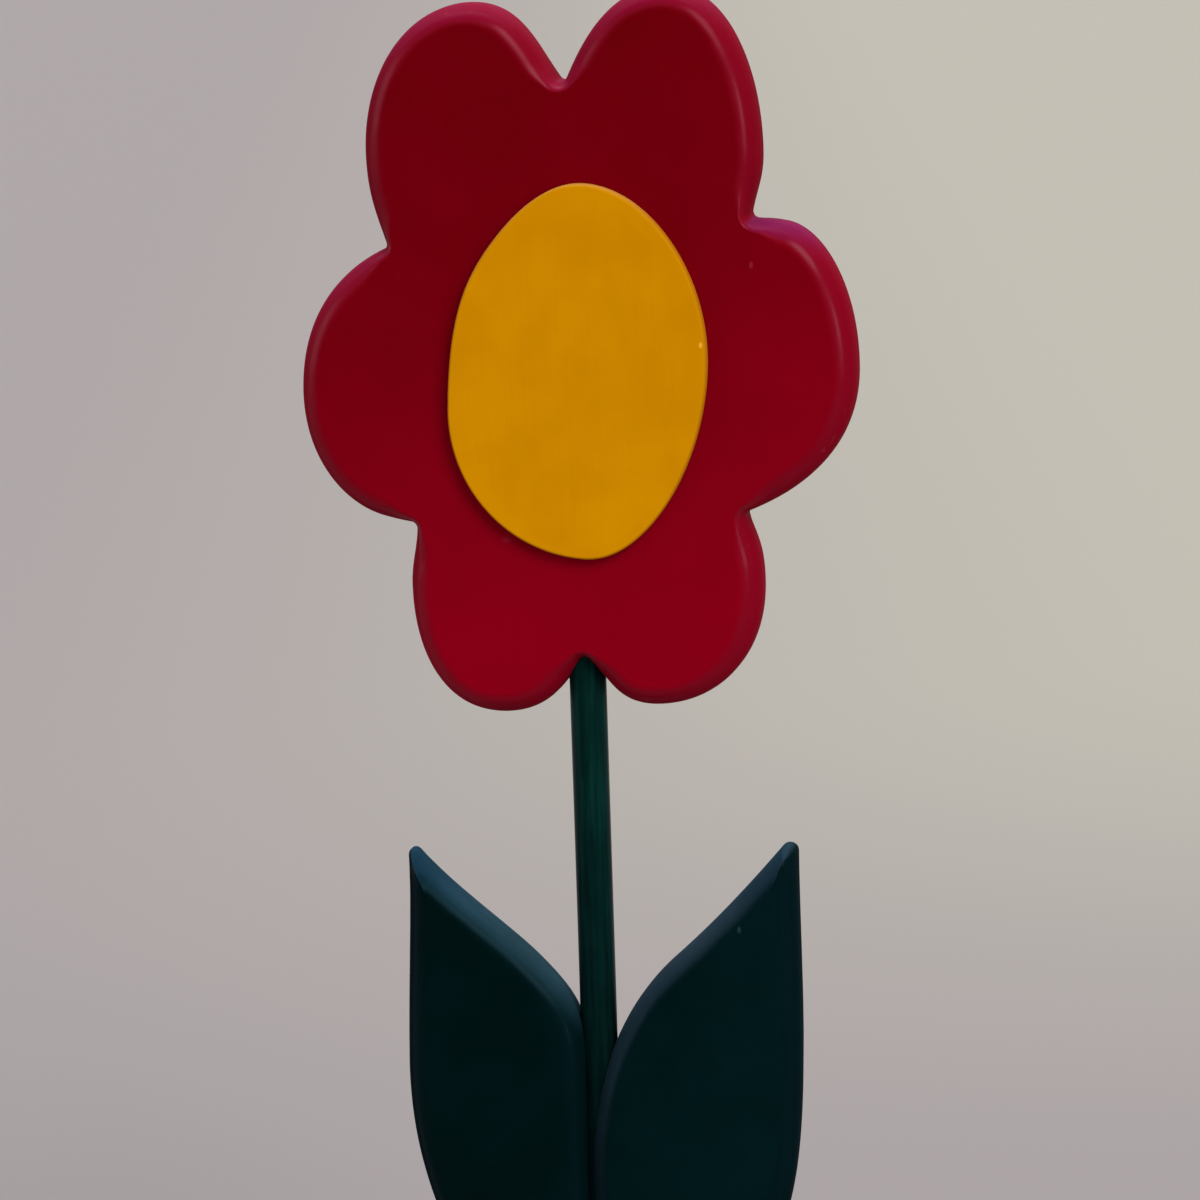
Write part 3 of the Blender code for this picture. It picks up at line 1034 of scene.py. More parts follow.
@dataclass(frozen=True)
class Enamel:
    """Gloss enamel brushed over sanded wood, with painted shade and a painted highlight laid into its
    colour.
    """

    name: str
    slot: Slot
    deep: Colour
    full: Colour
    # Painted shade: the colour, mostly darker, that the rounded rims turn to towards the outline
    rim: Colour
    rubbed: Colour
    # Painted highlight: the two colours that the rims facing the light are lightened to
    bleached: tuple[Colour, Colour]
    # How much of the painted shade the rims take
    rim_shade_share: float = 0.6
    stroke_share: float = 0.05
    stroke_shade: float = 0.55
    roughness: float = 0.32
    specular: float = 0.12
    gloss: Colour = (1.0, 1.0, 1.0)
    stroke_rough: tuple[float, float] = (-0.04, 0.05)
    dust_rough: float = 0.8
    rubbed_rough: float = 0.3
    dullness: float = 0.62
    # Painted shade: a slope from the deep colour at its first point to the full one at its second, and
    # how much of the tone it sets
    fade: tuple[Point, Point] = ((-0.02, 0.0, 0.30), (0.02, 0.0, 0.16))
    painted_shade_share: float = 0.0
    coat: float = 0.12
    coat_rough: float = 0.25
    strokes: Strokes = Strokes.UPRIGHT
    stroke_depth: float = 0.000012
    peel_depth: float = 0.000010
    rounding: float = BOARD_ROUNDING
    rubbing: float = 0.35
    dust: float = 0.015
    dust_colour: Colour = (0.42, 0.40, 0.37)
    # Where the painted highlight lies: the way the lit rims face, how far they must face it, and the
    # slope between its two colours
    toward: Point = (-0.20, 0.0, 0.98)
    bleach_from: float = 0.2
    turn: tuple[Point, Point] = ((0.015, 0.0, 0.29), (0.045, 0.0, 0.28))
    nibs_and_glints: tuple[NibOrGlint, ...] = ()
    board: bool = True

    def layers(self, graph: Graph, place: Socket, effects: Effects) -> Layers:
        """Sets the shared effects to this paint's own values.

        Args:
            graph: the material's graph.
            place: Object coordinates.
            effects: the shared node groups.

        Returns:
            What the effects give. On a board they follow the outline that mark_rims noted.
        """
        brush = {
            "Stroke Scale": self.strokes.value,
            "Stroke Depth": self.stroke_depth,
            "Peel Depth": self.peel_depth,
        }
        worn = {"Rounding": self.rounding, "Rubbing": self.rubbing}
        dust = {"Amount": self.dust, "Toward": self.toward, "Bleach From": self.bleach_from}
        if self.board:
            inset = graph.add("ShaderNodeAttribute", attribute_name="inset").outputs["Fac"]
            brush["Inset"] = inset
            brush["Rim"] = graph.add("ShaderNodeAttribute", attribute_name="rim").outputs["Vector"]
            worn["Inset"] = inset
        groups = (effects.brushwork, brush), (effects.worn_rim, worn), (effects.settled_dust, dust)
        nodes = [
            graph.add("ShaderNodeGroup", {"Place": place, **values}, node_tree=tree)
            for tree, values in groups
        ]
        return Layers(*[node.outputs for node in nodes])

    def colour(self, graph: Graph, place: Socket, layers: Layers, pale: Socket) -> Socket:
        """Lays the paint's colours over one another.

        Args:
            graph: the material's graph.
            place: Object coordinates.
            layers: what the shared effects give.
            pale: the mask of the painted highlight on the rims.

        Returns:
            The colour.
        """
        brush, worn, dust = layers
        # Painted shade: the tone follows the slope, darker at its first point
        tone = graph.blended(self.painted_shade_share, brush["Clouds"], graph.slope(place, *self.fade))
        colour = graph.mixed(tone, self.deep, self.full)
        # Painted shade on the rims, towards the outline
        colour = graph.mixed(graph.product(worn["Rim"], self.rim_shade_share), colour, self.rim)
        # Painted highlight on the rims that face the light
        bleached = graph.mixed(graph.slope(place, *self.turn), *self.bleached)
        colour = graph.mixed(pale, colour, bleached)
        streak = tuple(part * self.stroke_shade for part in self.deep)
        colour = graph.mixed(graph.product(brush["Strokes"], self.stroke_share), colour, streak)
        colour = graph.mixed(worn["Rubbed"], colour, self.rubbed)
        # Knocks and proud drops in the paint, and the disc's painted glint
        for nib_or_glint in self.nibs_and_glints:
            colour = graph.mixed(nib_or_glint.mask(graph, place), colour, nib_or_glint.colour)
        return graph.mixed(dust["Dust"], colour, self.dust_colour)

    def material(self, effects: Effects) -> bpy.types.Material:
        """Mixes the paint.

        Args:
            effects: the shared node groups.

        Returns:
            The material.
        """
        material, graph, shader = new_material(self.name, self.full)
        place = graph.place()
        layers = self.layers(graph, place, effects)
        brush, worn, dust = layers
        # The mask of the painted highlight on the rims; the coat is kept off it
        pale = graph.product(worn["Rim"], dust["Bleached"])
        smooth, coarse = [self.roughness + part for part in self.stroke_rough]
        rough = graph.fade(brush["Strokes"], 0.0, 1.0, smooth, coarse)
        dusty = graph.product(dust["Dust"], self.dust_rough)
        rough = graph.total(rough, dusty, graph.product(worn["Rubbed"], self.rubbed_rough))
        if self.board:
            rough = graph.total(rough, graph.product(worn["Dull"], self.dullness))
            coat_outside_highlight = graph.fade(pale, 0.0, 0.5, self.coat, 0.0)
            graph.feed(shader, {"Coat Weight": graph.product(worn["Bead"], coat_outside_highlight)})
            shader.inputs["Coat Roughness"].default_value = self.coat_rough
        colour = self.colour(graph, place, layers, pale)
        graph.feed(shader, {"Base Color": colour, "Roughness": rough})
        graph.relief(shader, brush["Height"])
        shader.inputs["Specular IOR Level"].default_value = self.specular
        shader.inputs["Specular Tint"].default_value = opaque(self.gloss)
        return material


@dataclass(frozen=True)
class PlatedSteel:
    """Zinc-plated steel, dull where it was turned."""

    name: str = "plated_steel"
    slot: Slot = Slot.STEEL
    bright: Colour = (0.62, 0.59, 0.52)
    dull: Colour = (0.40, 0.37, 0.31)
    roughness: float = 0.34
    dust: float = 0.05
    dust_colour: Colour = (0.30, 0.28, 0.25)
    turning_scale: Point = (120.0, 120.0, 9000.0)
    turning_depth: float = 0.000004

    def material(self, effects: Effects) -> bpy.types.Material:
        """Plates the screw.

        Args:
            effects: the shared node groups.

        Returns:
            The material.
        """
        material, graph, shader = new_material(self.name, self.bright)
        place = graph.place()
        patina = graph.fade(graph.cloud(place, 500.0, 4.0, 0.6), 0.35, 0.7)
        turned = graph.cloud(graph.scaled(place, self.turning_scale), 1.0, 2.0, 0.5)
        colour = graph.mixed(patina, self.bright, self.dull)
        colour = effects.dusted(graph, place, colour, self.dust, self.dust_colour)
        rough = graph.fade(patina, 0.0, 1.0, self.roughness, self.roughness + 0.2)
        graph.feed(shader, {"Base Color": colour, "Roughness": rough})
        graph.relief(shader, graph.product(turned, self.turning_depth))
        shader.inputs["Metallic"].default_value = 1.0
        return material


@dataclass(frozen=True)
class PressedFelt:
    """Dark green pressed wool felt."""

    name: str = "pressed_felt"
    slot: Slot = Slot.FELT
    deep: Colour = (0.012, 0.034, 0.024)
    light: Colour = (0.030, 0.070, 0.050)
    dust: float = 0.1
    dust_colour: Colour = (0.30, 0.29, 0.27)
    strand_scale: Point = (700.0, 2600.0, 1500.0)
    strand_depth: float = 0.00012

    def material(self, effects: Effects) -> bpy.types.Material:
        """Presses the wool.

        Args:
            effects: the shared node groups.

        Returns:
            The material.
        """
        material, graph, shader = new_material(self.name, self.deep)
        place = graph.place()
        tangle = graph.cloud(place, 900.0, 8.0, 0.72)
        strands = graph.cloud(graph.scaled(place, self.strand_scale), 1.0, 5.0, 0.7)
        wool = graph.fade(graph.total(tangle, strands), 0.75, 1.3)
        colour = graph.mixed(wool, self.deep, self.light)
        colour = effects.dusted(graph, place, colour, self.dust, self.dust_colour)
        graph.feed(shader, {"Base Color": colour})
        graph.relief(shader, graph.product(wool, self.strand_depth))
        shader.inputs["Roughness"].default_value = 0.95
        shader.inputs["Specular IOR Level"].default_value = 0.15
        shader.inputs["Sheen Weight"].default_value = 0.35
        shader.inputs["Sheen Roughness"].default_value = 0.5
        return material


Finish = Enamel | PlatedSteel | PressedFelt

RED_ENAMEL = Enamel(
    name="red_enamel",
    slot=Slot.RED,
    deep=(0.150, 0.0, 0.0024),
    full=(0.282, 0.0, 0.0090),
    rim=(0.212, 0.001, 0.0120),
    rubbed=(0.330, 0.060, 0.070),
    # Painted highlight, magenta, on the rims that face up
    bleached=((0.215, 0.002, 0.028), (0.180, 0.004, 0.062)),
    rim_shade_share=0.7,
    gloss=(1.0, 0.10, 0.35),
    specular=0.10,
    roughness=0.28,
    nibs_and_glints=(
        NibOrGlint((0.0396, -0.0078, 0.2591), (0.0006, 0.0020, 0.0011), (0.30, 0.030, 0.035), 0.5),
        NibOrGlint((-0.0155, -0.0075, 0.2000), (0.0016, 0.0020, 0.0010), (0.26, 0.012, 0.030), 0.5),
    ),
    # Painted shade: darker towards the top and the left
    painted_shade_share=0.85,
    rubbing=0.2,
)
YELLOW_ENAMEL = Enamel(
    name="yellow_enamel",
    slot=Slot.YELLOW,
    deep=(0.630, 0.252, 0.0),
    full=(0.710, 0.300, 0.0),
    rim=(0.420, 0.140, 0.005),
    rubbed=(0.75, 0.45, 0.08),
    # Painted highlight on the disc's upper rims
    bleached=((0.65, 0.30, 0.04), (0.66, 0.31, 0.07)),
    rim_shade_share=0.5,
    rounding=0.0005,
    roughness=0.34,
    bleach_from=0.4,
    # A painted glint on the disc's right rim
    nibs_and_glints=(NibOrGlint((0.0286, -0.0100, 0.2423), (0.0005, 0.0020, 0.0009), (1.0, 0.52, 0.05), 0.85),),
    gloss=(1.0, 0.6, 0.05),
    coat=0.04,
)
STEM_ENAMEL = Enamel(
    name="stem_enamel",
    slot=Slot.STEM_GREEN,
    deep=(0.0004, 0.0045, 0.0060),
    full=(0.0034, 0.0380, 0.0310),
    rim=(0.003, 0.030, 0.028),
    rubbed=(0.05, 0.08, 0.06),
    bleached=((0.003, 0.030, 0.028), (0.003, 0.030, 0.028)),
    # Painted shade: darker towards the bottom
    fade=((0.0, 0.0, 0.09), (0.0, 0.0, 0.17)),
    painted_shade_share=0.6,
    stroke_share=0.7,
    stroke_depth=0.00002,
    specular=0.06,
    gloss=(0.1, 0.9, 0.8),
    board=False,
)
LEAF_ENAMEL = Enamel(
    name="leaf_enamel",
    slot=Slot.LEAF_GREEN,
    deep=(0.0, 0.0046, 0.0040),
    full=(0.0006, 0.0112, 0.0128),
    rim=(0.0002, 0.0060, 0.0080),
    rubbed=(0.020, 0.045, 0.050),
    # Painted highlight on the rims that face up and a little to the right
    bleached=((0.013, 0.043, 0.061), (0.005, 0.034, 0.066)),
    gloss=(0.25, 0.75, 1.0),
    specular=0.05,
    # Painted shade: darker towards the left
    fade=((-0.03, 0.0, 0.08), (0.04, 0.0, 0.08)),
    painted_shade_share=0.6,
    coat=0.01,
    rubbing=0.15,
    toward=(0.3, 0.0, 0.95),
    bleach_from=0.35,
    turn=((0.0, 0.0, 0.110), (0.0, 0.0, 0.135)),
    nibs_and_glints=(NibOrGlint((0.0329, -0.0075, 0.1140), (0.0006, 0.0020, 0.0011), (0.03, 0.09, 0.10), 0.35),),
)
RIGHT_LEAF_ENAMEL = replace(
    LEAF_ENAMEL,
    name="right_leaf_enamel",
    # Painted highlight on the rims that face up and to the left
    bleached=((0.017, 0.036, 0.055), (0.010, 0.034, 0.056)),
    toward=(-0.45, 0.0, 0.89),
    bleach_from=0.1,
)
FOOT_ENAMEL = Enamel(
    name="foot_enamel",
    slot=Slot.LEAF_GREEN,
    deep=(0.0, 0.0048, 0.0034),
    full=(0.0002, 0.0078, 0.0085),
    rim=(0.0002, 0.0050, 0.0065),
    rubbed=(0.05, 0.08, 0.08),
    # Painted highlight on the rims of the top
    bleached=((0.010, 0.032, 0.046), (0.005, 0.024, 0.044)),
    gloss=(0.25, 0.75, 1.0),
    specular=0.05,
    coat=0.01,
    rubbing=0.15,
    dust=0.010,
    toward=(0.0, 0.0, 1.0),
    bleach_from=0.45,
    turn=((-0.06, 0.0, 0.0), (0.06, 0.0, 0.0)),
    strokes=Strokes.ACROSS,
)


# Pieces


@dataclass
class Workshop:
    """The finishes as materials, mixed once each, and the last step that every piece goes through."""

    effects: Effects = field(default_factory=Effects)
    mixed: dict[str, bpy.types.Material] = field(default_factory=dict)

    def finish(self, piece: bpy.types.Object, finish: Finish, nodes: Sequence[str]) -> None:
        """Dresses a piece and puts it in its solid's place.

        Args:
            piece: the object, in place.
            finish: what it is painted or covered with.
            nodes: the solids that it stands for.
        """
        if finish.name not in self.mixed:
            self.mixed[finish.name] = finish.material(self.effects)
        soften(piece.data)
        piece.data.materials.clear()
        piece.data.materials.append(self.mixed[finish.name])
        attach(piece, "root")
        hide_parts(*nodes)
        log.info("%s: %d faces, %s", piece.name, len(piece.data.polygons), finish.slot.value)


def standing(x: float, y: float, z: float) -> Matrix:
    """Stands a board up at a place, with its front towards the viewer."""
    return Matrix.Translation((x, y, z)) @ Matrix.Rotation(math.pi / 2, 4, "X")


@dataclass
class Joints:
    """The heights at which the pieces meet, read from the solids."""

    foot_underside: float = field(init=False)
    foot_top: float = field(init=False)
    notch: float = field(init=False)
    stem_bottom: float = field(init=False)
    stem_top: float = field(init=False)

    def __post_init__(self) -> None:
        """Reads the solids' boxes."""
        foot_low, foot_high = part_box("base")
        stem_low, stem_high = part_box("stem")
        head_low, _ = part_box("flower_head")
        self.foot_underside, self.foot_top = foot_low.z, foot_high.z
        self.stem_bottom, self.stem_top = stem_low.z, stem_high.z
        self.notch = head_low.z - min(point.y for point in ring_of(HEAD_OUTLINE))


@dataclass
class FlowerHead:
    """The six-petal head and the oval disc glued on its front."""

    joints: Joints
    thickness: float = BOARD_THICKNESS
    rounding: tuple[float, float] = (BOARD_ROUNDING, BOARD_DROP)
    disc_rounding: tuple[float, float] = (0.0005, 0.0008)
    disc_back_arris: tuple[float, float] = (0.00015, 0.00015)
    disc_middle: float = 0.061

    def board(self) -> bpy.types.Object:
        """Saws the head, rounds its rims and drills the stem's socket up from the bottom notch.

        Returns:
            The head.
        """
        place = standing(0, 0, self.joints.notch)
        rounding = self.rounding
        shape = RoutedBoard(HEAD_OUTLINE, self.thickness, rounding, rounding, place, BOARD_SPREAD)
        head = shape.body("flower_head_board")
        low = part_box("flower_head")[0].z - CUTTER_REACH
        depth = self.joints.stem_top + GLUE_GAP - low
        drill = new_piece("head_socket", round_blank(BORE_RADIUS, Vector((0, 0, low)), depth, BORE_SIDES))
        carve(head, [drill])
        shape.sand(head, HandWork(seed=3.1))
        return head

    def disc(self) -> bpy.types.Object:
        """Cuts the disc and lays it flat on the head's front.

        Returns:
            The disc.
        """
        low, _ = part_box("flower_centre")
        thickness = -self.thickness / 2 - low.y
        middle = low.y + thickness / 2
        place = standing(0, middle, self.joints.notch + self.disc_middle)
        shape = RoutedBoard(CENTRE_OUTLINE, thickness, self.disc_rounding, self.disc_back_arris, place)
        disc = shape.body("flower_centre_disc")
        shape.sand(disc, HandWork(swell=0.00005, seed=7.7))
        return disc

    def build(self, workshop: Workshop) -> None:
        """Makes and dresses the head and its disc."""
        workshop.finish(self.board(), RED_ENAMEL, ["flower_head"])
        workshop.finish(self.disc(), YELLOW_ENAMEL, ["flower_centre"])


@dataclass
class Stem:
    """The dowel, from the foot's socket up into the head's."""

    joints: Joints
    radius: float = STEM_RADIUS
    chamfer: float = 0.0006
    sides: int = 72
    row: float = 0.0025
    waver: float = 0.00006
    waver_scale: float = 60.0
    waver_length: float = 0.035

    def build(self, workshop: Workshop) -> None:
        """Turns, wavers and dresses the dowel.

        Args:
            workshop: where it is dressed.
        """
        bottom = self.joints.stem_bottom
        length = self.joints.stem_top - bottom
        bm = round_blank(self.radius, Vector((0, 0, bottom)), length, self.sides)
        ease_rims(bm, self.chamfer)
        rows = math.ceil(length / self.row)
        for row in range(1, rows):
            whole = list(bm.verts) + list(bm.edges) + list(bm.faces)
            level = (0, 0, bottom + length * row / rows)
            bmesh.ops.bisect_plane(bm, geom=whole, dist=WELD, plane_co=level, plane_no=UPWARD)
        for vert in bm.verts:
            side = Vector((vert.co.x, vert.co.y, 0))
            around = side * self.waver_scale + Vector((0, 0, vert.co.z / self.waver_length))
            vert.co += side.normalized() * self.waver * noise.noise(around)
        bmesh.ops.recalc_face_normals(bm, faces=bm.faces)
        workshop.finish(new_piece("stem_dowel", bm), STEM_ENAMEL, ["stem"])


@dataclass
class Leaf:
    """One of the two leaves, grooved round the stem and screwed to the foot."""

    side: Side
    outline: Outline
    tip: Corner
    joints: Joints
    thickness: float = BOARD_THICKNESS
    rounding: tuple[float, float] = (BOARD_ROUNDING, BOARD_DROP)
    screw_spread: float = SCREW_SPREAD
    pilot_radius: float = 0.0018
    pilot_depth: float = 0.0125

    def cutters(self, node: str) -> list[bpy.types.Object]:
        """Sets up what the leaf is cut with.

        Args:
            node: the leaf's solid.

        Returns:
            The saw that levels its foot, the stem's groove and the screw's pilot hole.
        """
        foot = self.joints.foot_top
        below = foot - CUTTER_REACH
        low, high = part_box(node)
        bottom = Vector((0, 0, below))
        spot = Vector((self.side.value * self.screw_spread, 0, below))
        depth = CUTTER_REACH + self.pilot_depth
        return [
            block("saw", Vector((low.x, low.y, below)), Vector((high.x, high.y, foot))),
            new_piece("groove", round_blank(BORE_RADIUS, bottom, self.joints.notch - below, BORE_SIDES)),
            new_piece("pilot", round_blank(self.pilot_radius, spot, depth, PILOT_SIDES)),
        ]

    def build(self, workshop: Workshop) -> None:
        """Saws, rounds, grooves and dresses the leaf.

        Args:
            workshop: where it is dressed.
        """
        node = f"leaf_{self.side.name.lower()}"
        place = standing(0, 0, self.joints.foot_top)
        shape = RoutedBoard(
            self.outline, self.thickness, self.rounding, self.rounding, place, BOARD_SPREAD, (self.tip,)
        )
        leaf = shape.body(f"{node}_board")
        carve(leaf, self.cutters(node))
        shape.sand(leaf, HandWork(seed=11.3 + 5.9 * self.side.value))
        finish = LEAF_ENAMEL if self.side is Side.LEFT else RIGHT_LEAF_ENAMEL
        workshop.finish(leaf, finish, [node])


@dataclass
class WoodScrew:
    """A countersunk screw with a cross recess, point up, and the drill for its hole."""

    side: Side
    joints: Joints
    spread: float = SCREW_SPREAD
    head_radius: float = 0.0035
    head_rim: float = 0.0003
    head_depth: float = 0.0021
    head_ease: tuple[float, float] = (0.00015, 0.00012)
    core_radius: float = 0.00115
    neck_radius: float = 0.00135
    neck_flare: tuple[float, float, float] = (0.0006, 0.0005, 0.0004)
    neck_length: float = 0.008
    thread_start: float = 0.009
    thread_radius: float = 0.00172
    thread_root: float = 0.82
    pitch: float = 0.0014
    flank: float = 0.27
    point_length: float = 0.005
    point_taper: float = 0.75
    start_taper: float = 0.3
    least_share: float = 0.05
    run_out: float = 0.6
    turn_steps: int = 24
    sides: int = 48
    recess_width: float = 0.0009
    recess_span: float = 0.0038
    recess_depth: float = 0.0015
    recess_floor: float = 0.7

    def node(self) -> str:
        """Name of the screw's solid."""
        return f"leaf_screw_{self.side.name.lower()}"

    def seat(self) -> Vector:
        """Middle of the head's face."""
        return Vector((self.side.value * self.spread, 0, self.joints.foot_underside + GLUE_GAP))

    def length(self) -> float:
        """Length of the whole screw, as its solid has it."""
        low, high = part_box(self.node())
        return high.z - low.z

    def neck(self) -> float:
        """Height of the neck over the head's face."""
        return self.head_rim + self.head_depth

    def turned(self, name: str, profile: Sequence[tuple[float, float]]) -> bpy.types.Object:
        """Turns a profile round the screw's axis.

        Args:
            name: the piece's name.
            profile: distance from the axis and height above the head's face, from end to end.

        Returns:
            The turned piece, in place.
        """
        bm = bmesh.new()
        corners = [bm.verts.new((radius, 0, height)) for radius, height in profile]
        line = corners + [bm.edges.new(pair) for pair in zip(corners, corners[1:])]
        bmesh.ops.spin(
            bm, geom=line, cent=ORIGIN, axis=UPWARD, angle=math.tau, steps=self.sides, use_merge=True
        )
        bmesh.ops.remove_doubles(bm, verts=bm.verts, dist=WELD)
        bmesh.ops.recalc_face_normals(bm, faces=bm.faces)
        bmesh.ops.translate(bm, verts=bm.verts, vec=self.seat())
        return new_piece(name, bm)

    def drill(self, slack: float = SNUG_FIT) -> bpy.types.Object:
        """Sets up the cutter for the countersunk hole through the foot.

        Args:
            slack: how much wider than the screw it cuts.

        Returns:
            The cutter, in place.
        """
        head = self.head_radius + slack
        body = self.thread_radius + slack
        reach = self.length() + CUTTER_REACH
        profile = (
            (0.0, -CUTTER_REACH),
            (head, -CUTTER_REACH),
            (head, self.head_rim),
            (body, self.neck()),
            (body, reach),
            (0.0, reach),
        )
        return self.turned("countersink", profile)

    def blank(self) -> bpy.types.Object:
        """Turns the head, the neck and the core in one.

        Returns:
            The screw without its recess and its thread.
        """
        ease, drop = self.head_ease
        flare, under, over = self.neck_flare
        neck, length = self.neck(), self.length()
        profile = (
            (0.0, 0.0),
            (self.head_radius - ease, 0.0),
            (self.head_radius, drop),
            (self.head_radius, self.head_rim),
            (self.neck_radius + flare, neck - under),
            (self.neck_radius, neck + over),
            (self.neck_radius, neck + self.neck_length),
            (self.core_radius, neck + self.thread_start),
            (self.core_radius, length - self.point_length),
            (0.0, length),
        )
        return self.turned(f"{self.node()}_steel", profile)

    def thread(self) -> bmesh.types.BMesh:
        """Winds the thread: a ridge that climbs round the core and runs out on the point.

        Returns:
            The ridge as a mesh, in place.
        """
        start = self.neck() + self.thread_start
        run = self.length() - self.point_length * self.run_out - start
        turns = run / self.pitch
        steps = math.ceil(turns * self.turn_steps)
        half = self.pitch * self.flank
        inner = self.core_radius * self.thread_root
        section = (inner, start - half), (self.thread_radius, start), (inner, start + half)
        bm = bmesh.new()
        ridge = bm.faces.new([bm.verts.new((radius, 0, height)) for radius, height in section])
        climb = (0, 0, run / steps)
        bmesh.ops.spin(
            bm, geom=[ridge], cent=ORIGIN, axis=UPWARD, dvec=climb, angle=math.tau * turns, steps=steps
        )
        taper_from = self.length() - self.point_length
        for vert in bm.verts:
            taper = self.point_taper * max(0.0, (vert.co.z - taper_from) / self.point_length)
            early = max(0.0, min(1.0, (start + self.pitch - vert.co.z) / self.pitch))
            share = 1.0 - taper
            if math.hypot(vert.co.x, vert.co.y) > self.core_radius:
                share = max(self.least_share, share - self.start_taper * early)
            vert.co.x *= share
            vert.co.y *= share
        bmesh.ops.recalc_face_normals(bm, faces=bm.faces)
        bmesh.ops.translate(bm, verts=bm.verts, vec=self.seat())
        return bm

    def recess(self, name: str, length: float, width: float) -> bpy.types.Object:
        """Sets up the cutter for one bar of the cross recess, narrower at its floor.

        Args:
            name: its name.
            length: its length from left to right.
            width: its width from front to back.

        Returns:
            The cutter, in place.
        """
        bm = bmesh.new()
        bmesh.ops.create_cube(bm, size=1.0)
        for vert in bm.verts:
            if vert.co.z > 0:
                vert.co.x *= self.recess_floor
                vert.co.y *= self.recess_floor
        bmesh.ops.scale(bm, verts=bm.verts, vec=(length, width, 2 * self.recess_depth))
        bmesh.ops.translate(bm, verts=bm.verts, vec=self.seat())
        return new_piece(name, bm)

    def build(self, workshop: Workshop) -> None:
        """Turns the screw, cuts its recess, winds its thread and plates it.

        Args:
            workshop: where it is dressed.
        """
        screw = self.blank()
        across = self.recess("across", self.recess_span, self.recess_width)
        along = self.recess("along", self.recess_width, self.recess_span)
        carve(screw, [across, along])
        clean(screw)
        bm = self.thread()
        bm.from_mesh(screw.data)
        bm.to_mesh(screw.data)
        bm.free()
        workshop.finish(screw, PlatedSteel(), [self.node()])


@dataclass
class FeltPad:
    """A round felt pad, glued under a corner of the foot, with its cut edge a little hairy."""

    node: str
    joints: Joints
    sides: int = 96
    edge: float = 0.00025
    face_rings: int = 5
    ring_share: float = 1 / 7
    roughness: float = 0.00012
    rough_length: float = 0.0011
    face_share: float = 0.25
    spot_scale: float = 50.0
    hairs: int = 150
    hair_length: float = 0.0007
    hair_radius: float = 0.000018
    hair_taper: float = 0.4
    hair_root: float = 0.0003
    hair_clearance: float = 0.0001

    def build(self, workshop: Workshop) -> None:
        """Punches the pad out, roughens it and dresses it.

        Args:
            workshop: where it is dressed.
        """
        low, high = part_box(self.node)
        radius = (high.x - low.x) / 2
        thickness = self.joints.foot_underside
        bm = round_blank(radius, Vector(ORIGIN), thickness, self.sides)
        ease_rims(bm, self.edge)
        wide = [face for face in bm.faces if len(face.verts) > 4]
        for _ in range(self.face_rings):
            bmesh.ops.inset_region(bm, faces=wide, thickness=radius * self.ring_share, depth=0.0)
        shift = Vector((low.x, low.y, 0)) * self.spot_scale
        cut_edge = radius - 3 * self.edge
        for vert in bm.verts:
            side = Vector((vert.co.x, vert.co.y, 0))
            push = self.roughness * noise.noise(vert.co / self.rough_length + shift)
            if side.length > cut_edge:
                vert.co += side.normalized() * (push - self.roughness)
            elif vert.co.z < thickness / 2:
                vert.co.z += self.face_share * abs(push)
        bmesh.ops.recalc_face_normals(bm, faces=bm.faces)
        chance = Random(self.node)
        for _ in range(self.hairs):
            self.hair(bm, chance, radius, thickness)
        middle = Vector(((low.x + high.x) / 2, (low.y + high.y) / 2, 0))
        bmesh.ops.translate(bm, verts=bm.verts, vec=middle)
        workshop.finish(new_piece(f"{self.node}_disc", bm), PressedFelt(), [self.node])

    def hair(self, bm: bmesh.types.BMesh, chance: Random, radius: float, thickness: float) -> None:
        """Adds one loose fibre to the cut edge.

        Args:
            bm: the pad.
            chance: the pad's own source of chance.
            radius: the pad's radius.
            thickness: the pad's thickness.
        """
        length = self.hair_length * chance.uniform(0.4, 1.0)
        thick, thin = self.hair_radius, self.hair_radius * self.hair_taper
        made = bmesh.ops.create_cone(
            bm, cap_ends=True, segments=3, radius1=thick, radius2=thin, depth=length
        )["verts"]
        turn = Matrix.Rotation(chance.uniform(0, math.tau), 4, "Z")
        lean = Matrix.Rotation(chance.uniform(0.2, 1.4), 4, "Y")
        spin = Matrix.Rotation(chance.uniform(0, math.tau), 4, "Z")
        height = chance.uniform(0.25, 0.8) * thickness
        root = turn @ Vector((radius - self.hair_root, 0, height))
        bmesh.ops.transform(bm, matrix=Matrix.Translation(root) @ turn @ lean @ spin, verts=made)
        low, high = self.hair_clearance, thickness - self.hair_clearance
        for vert in made:
            vert.co.z = min(max(vert.co.z, low), high)


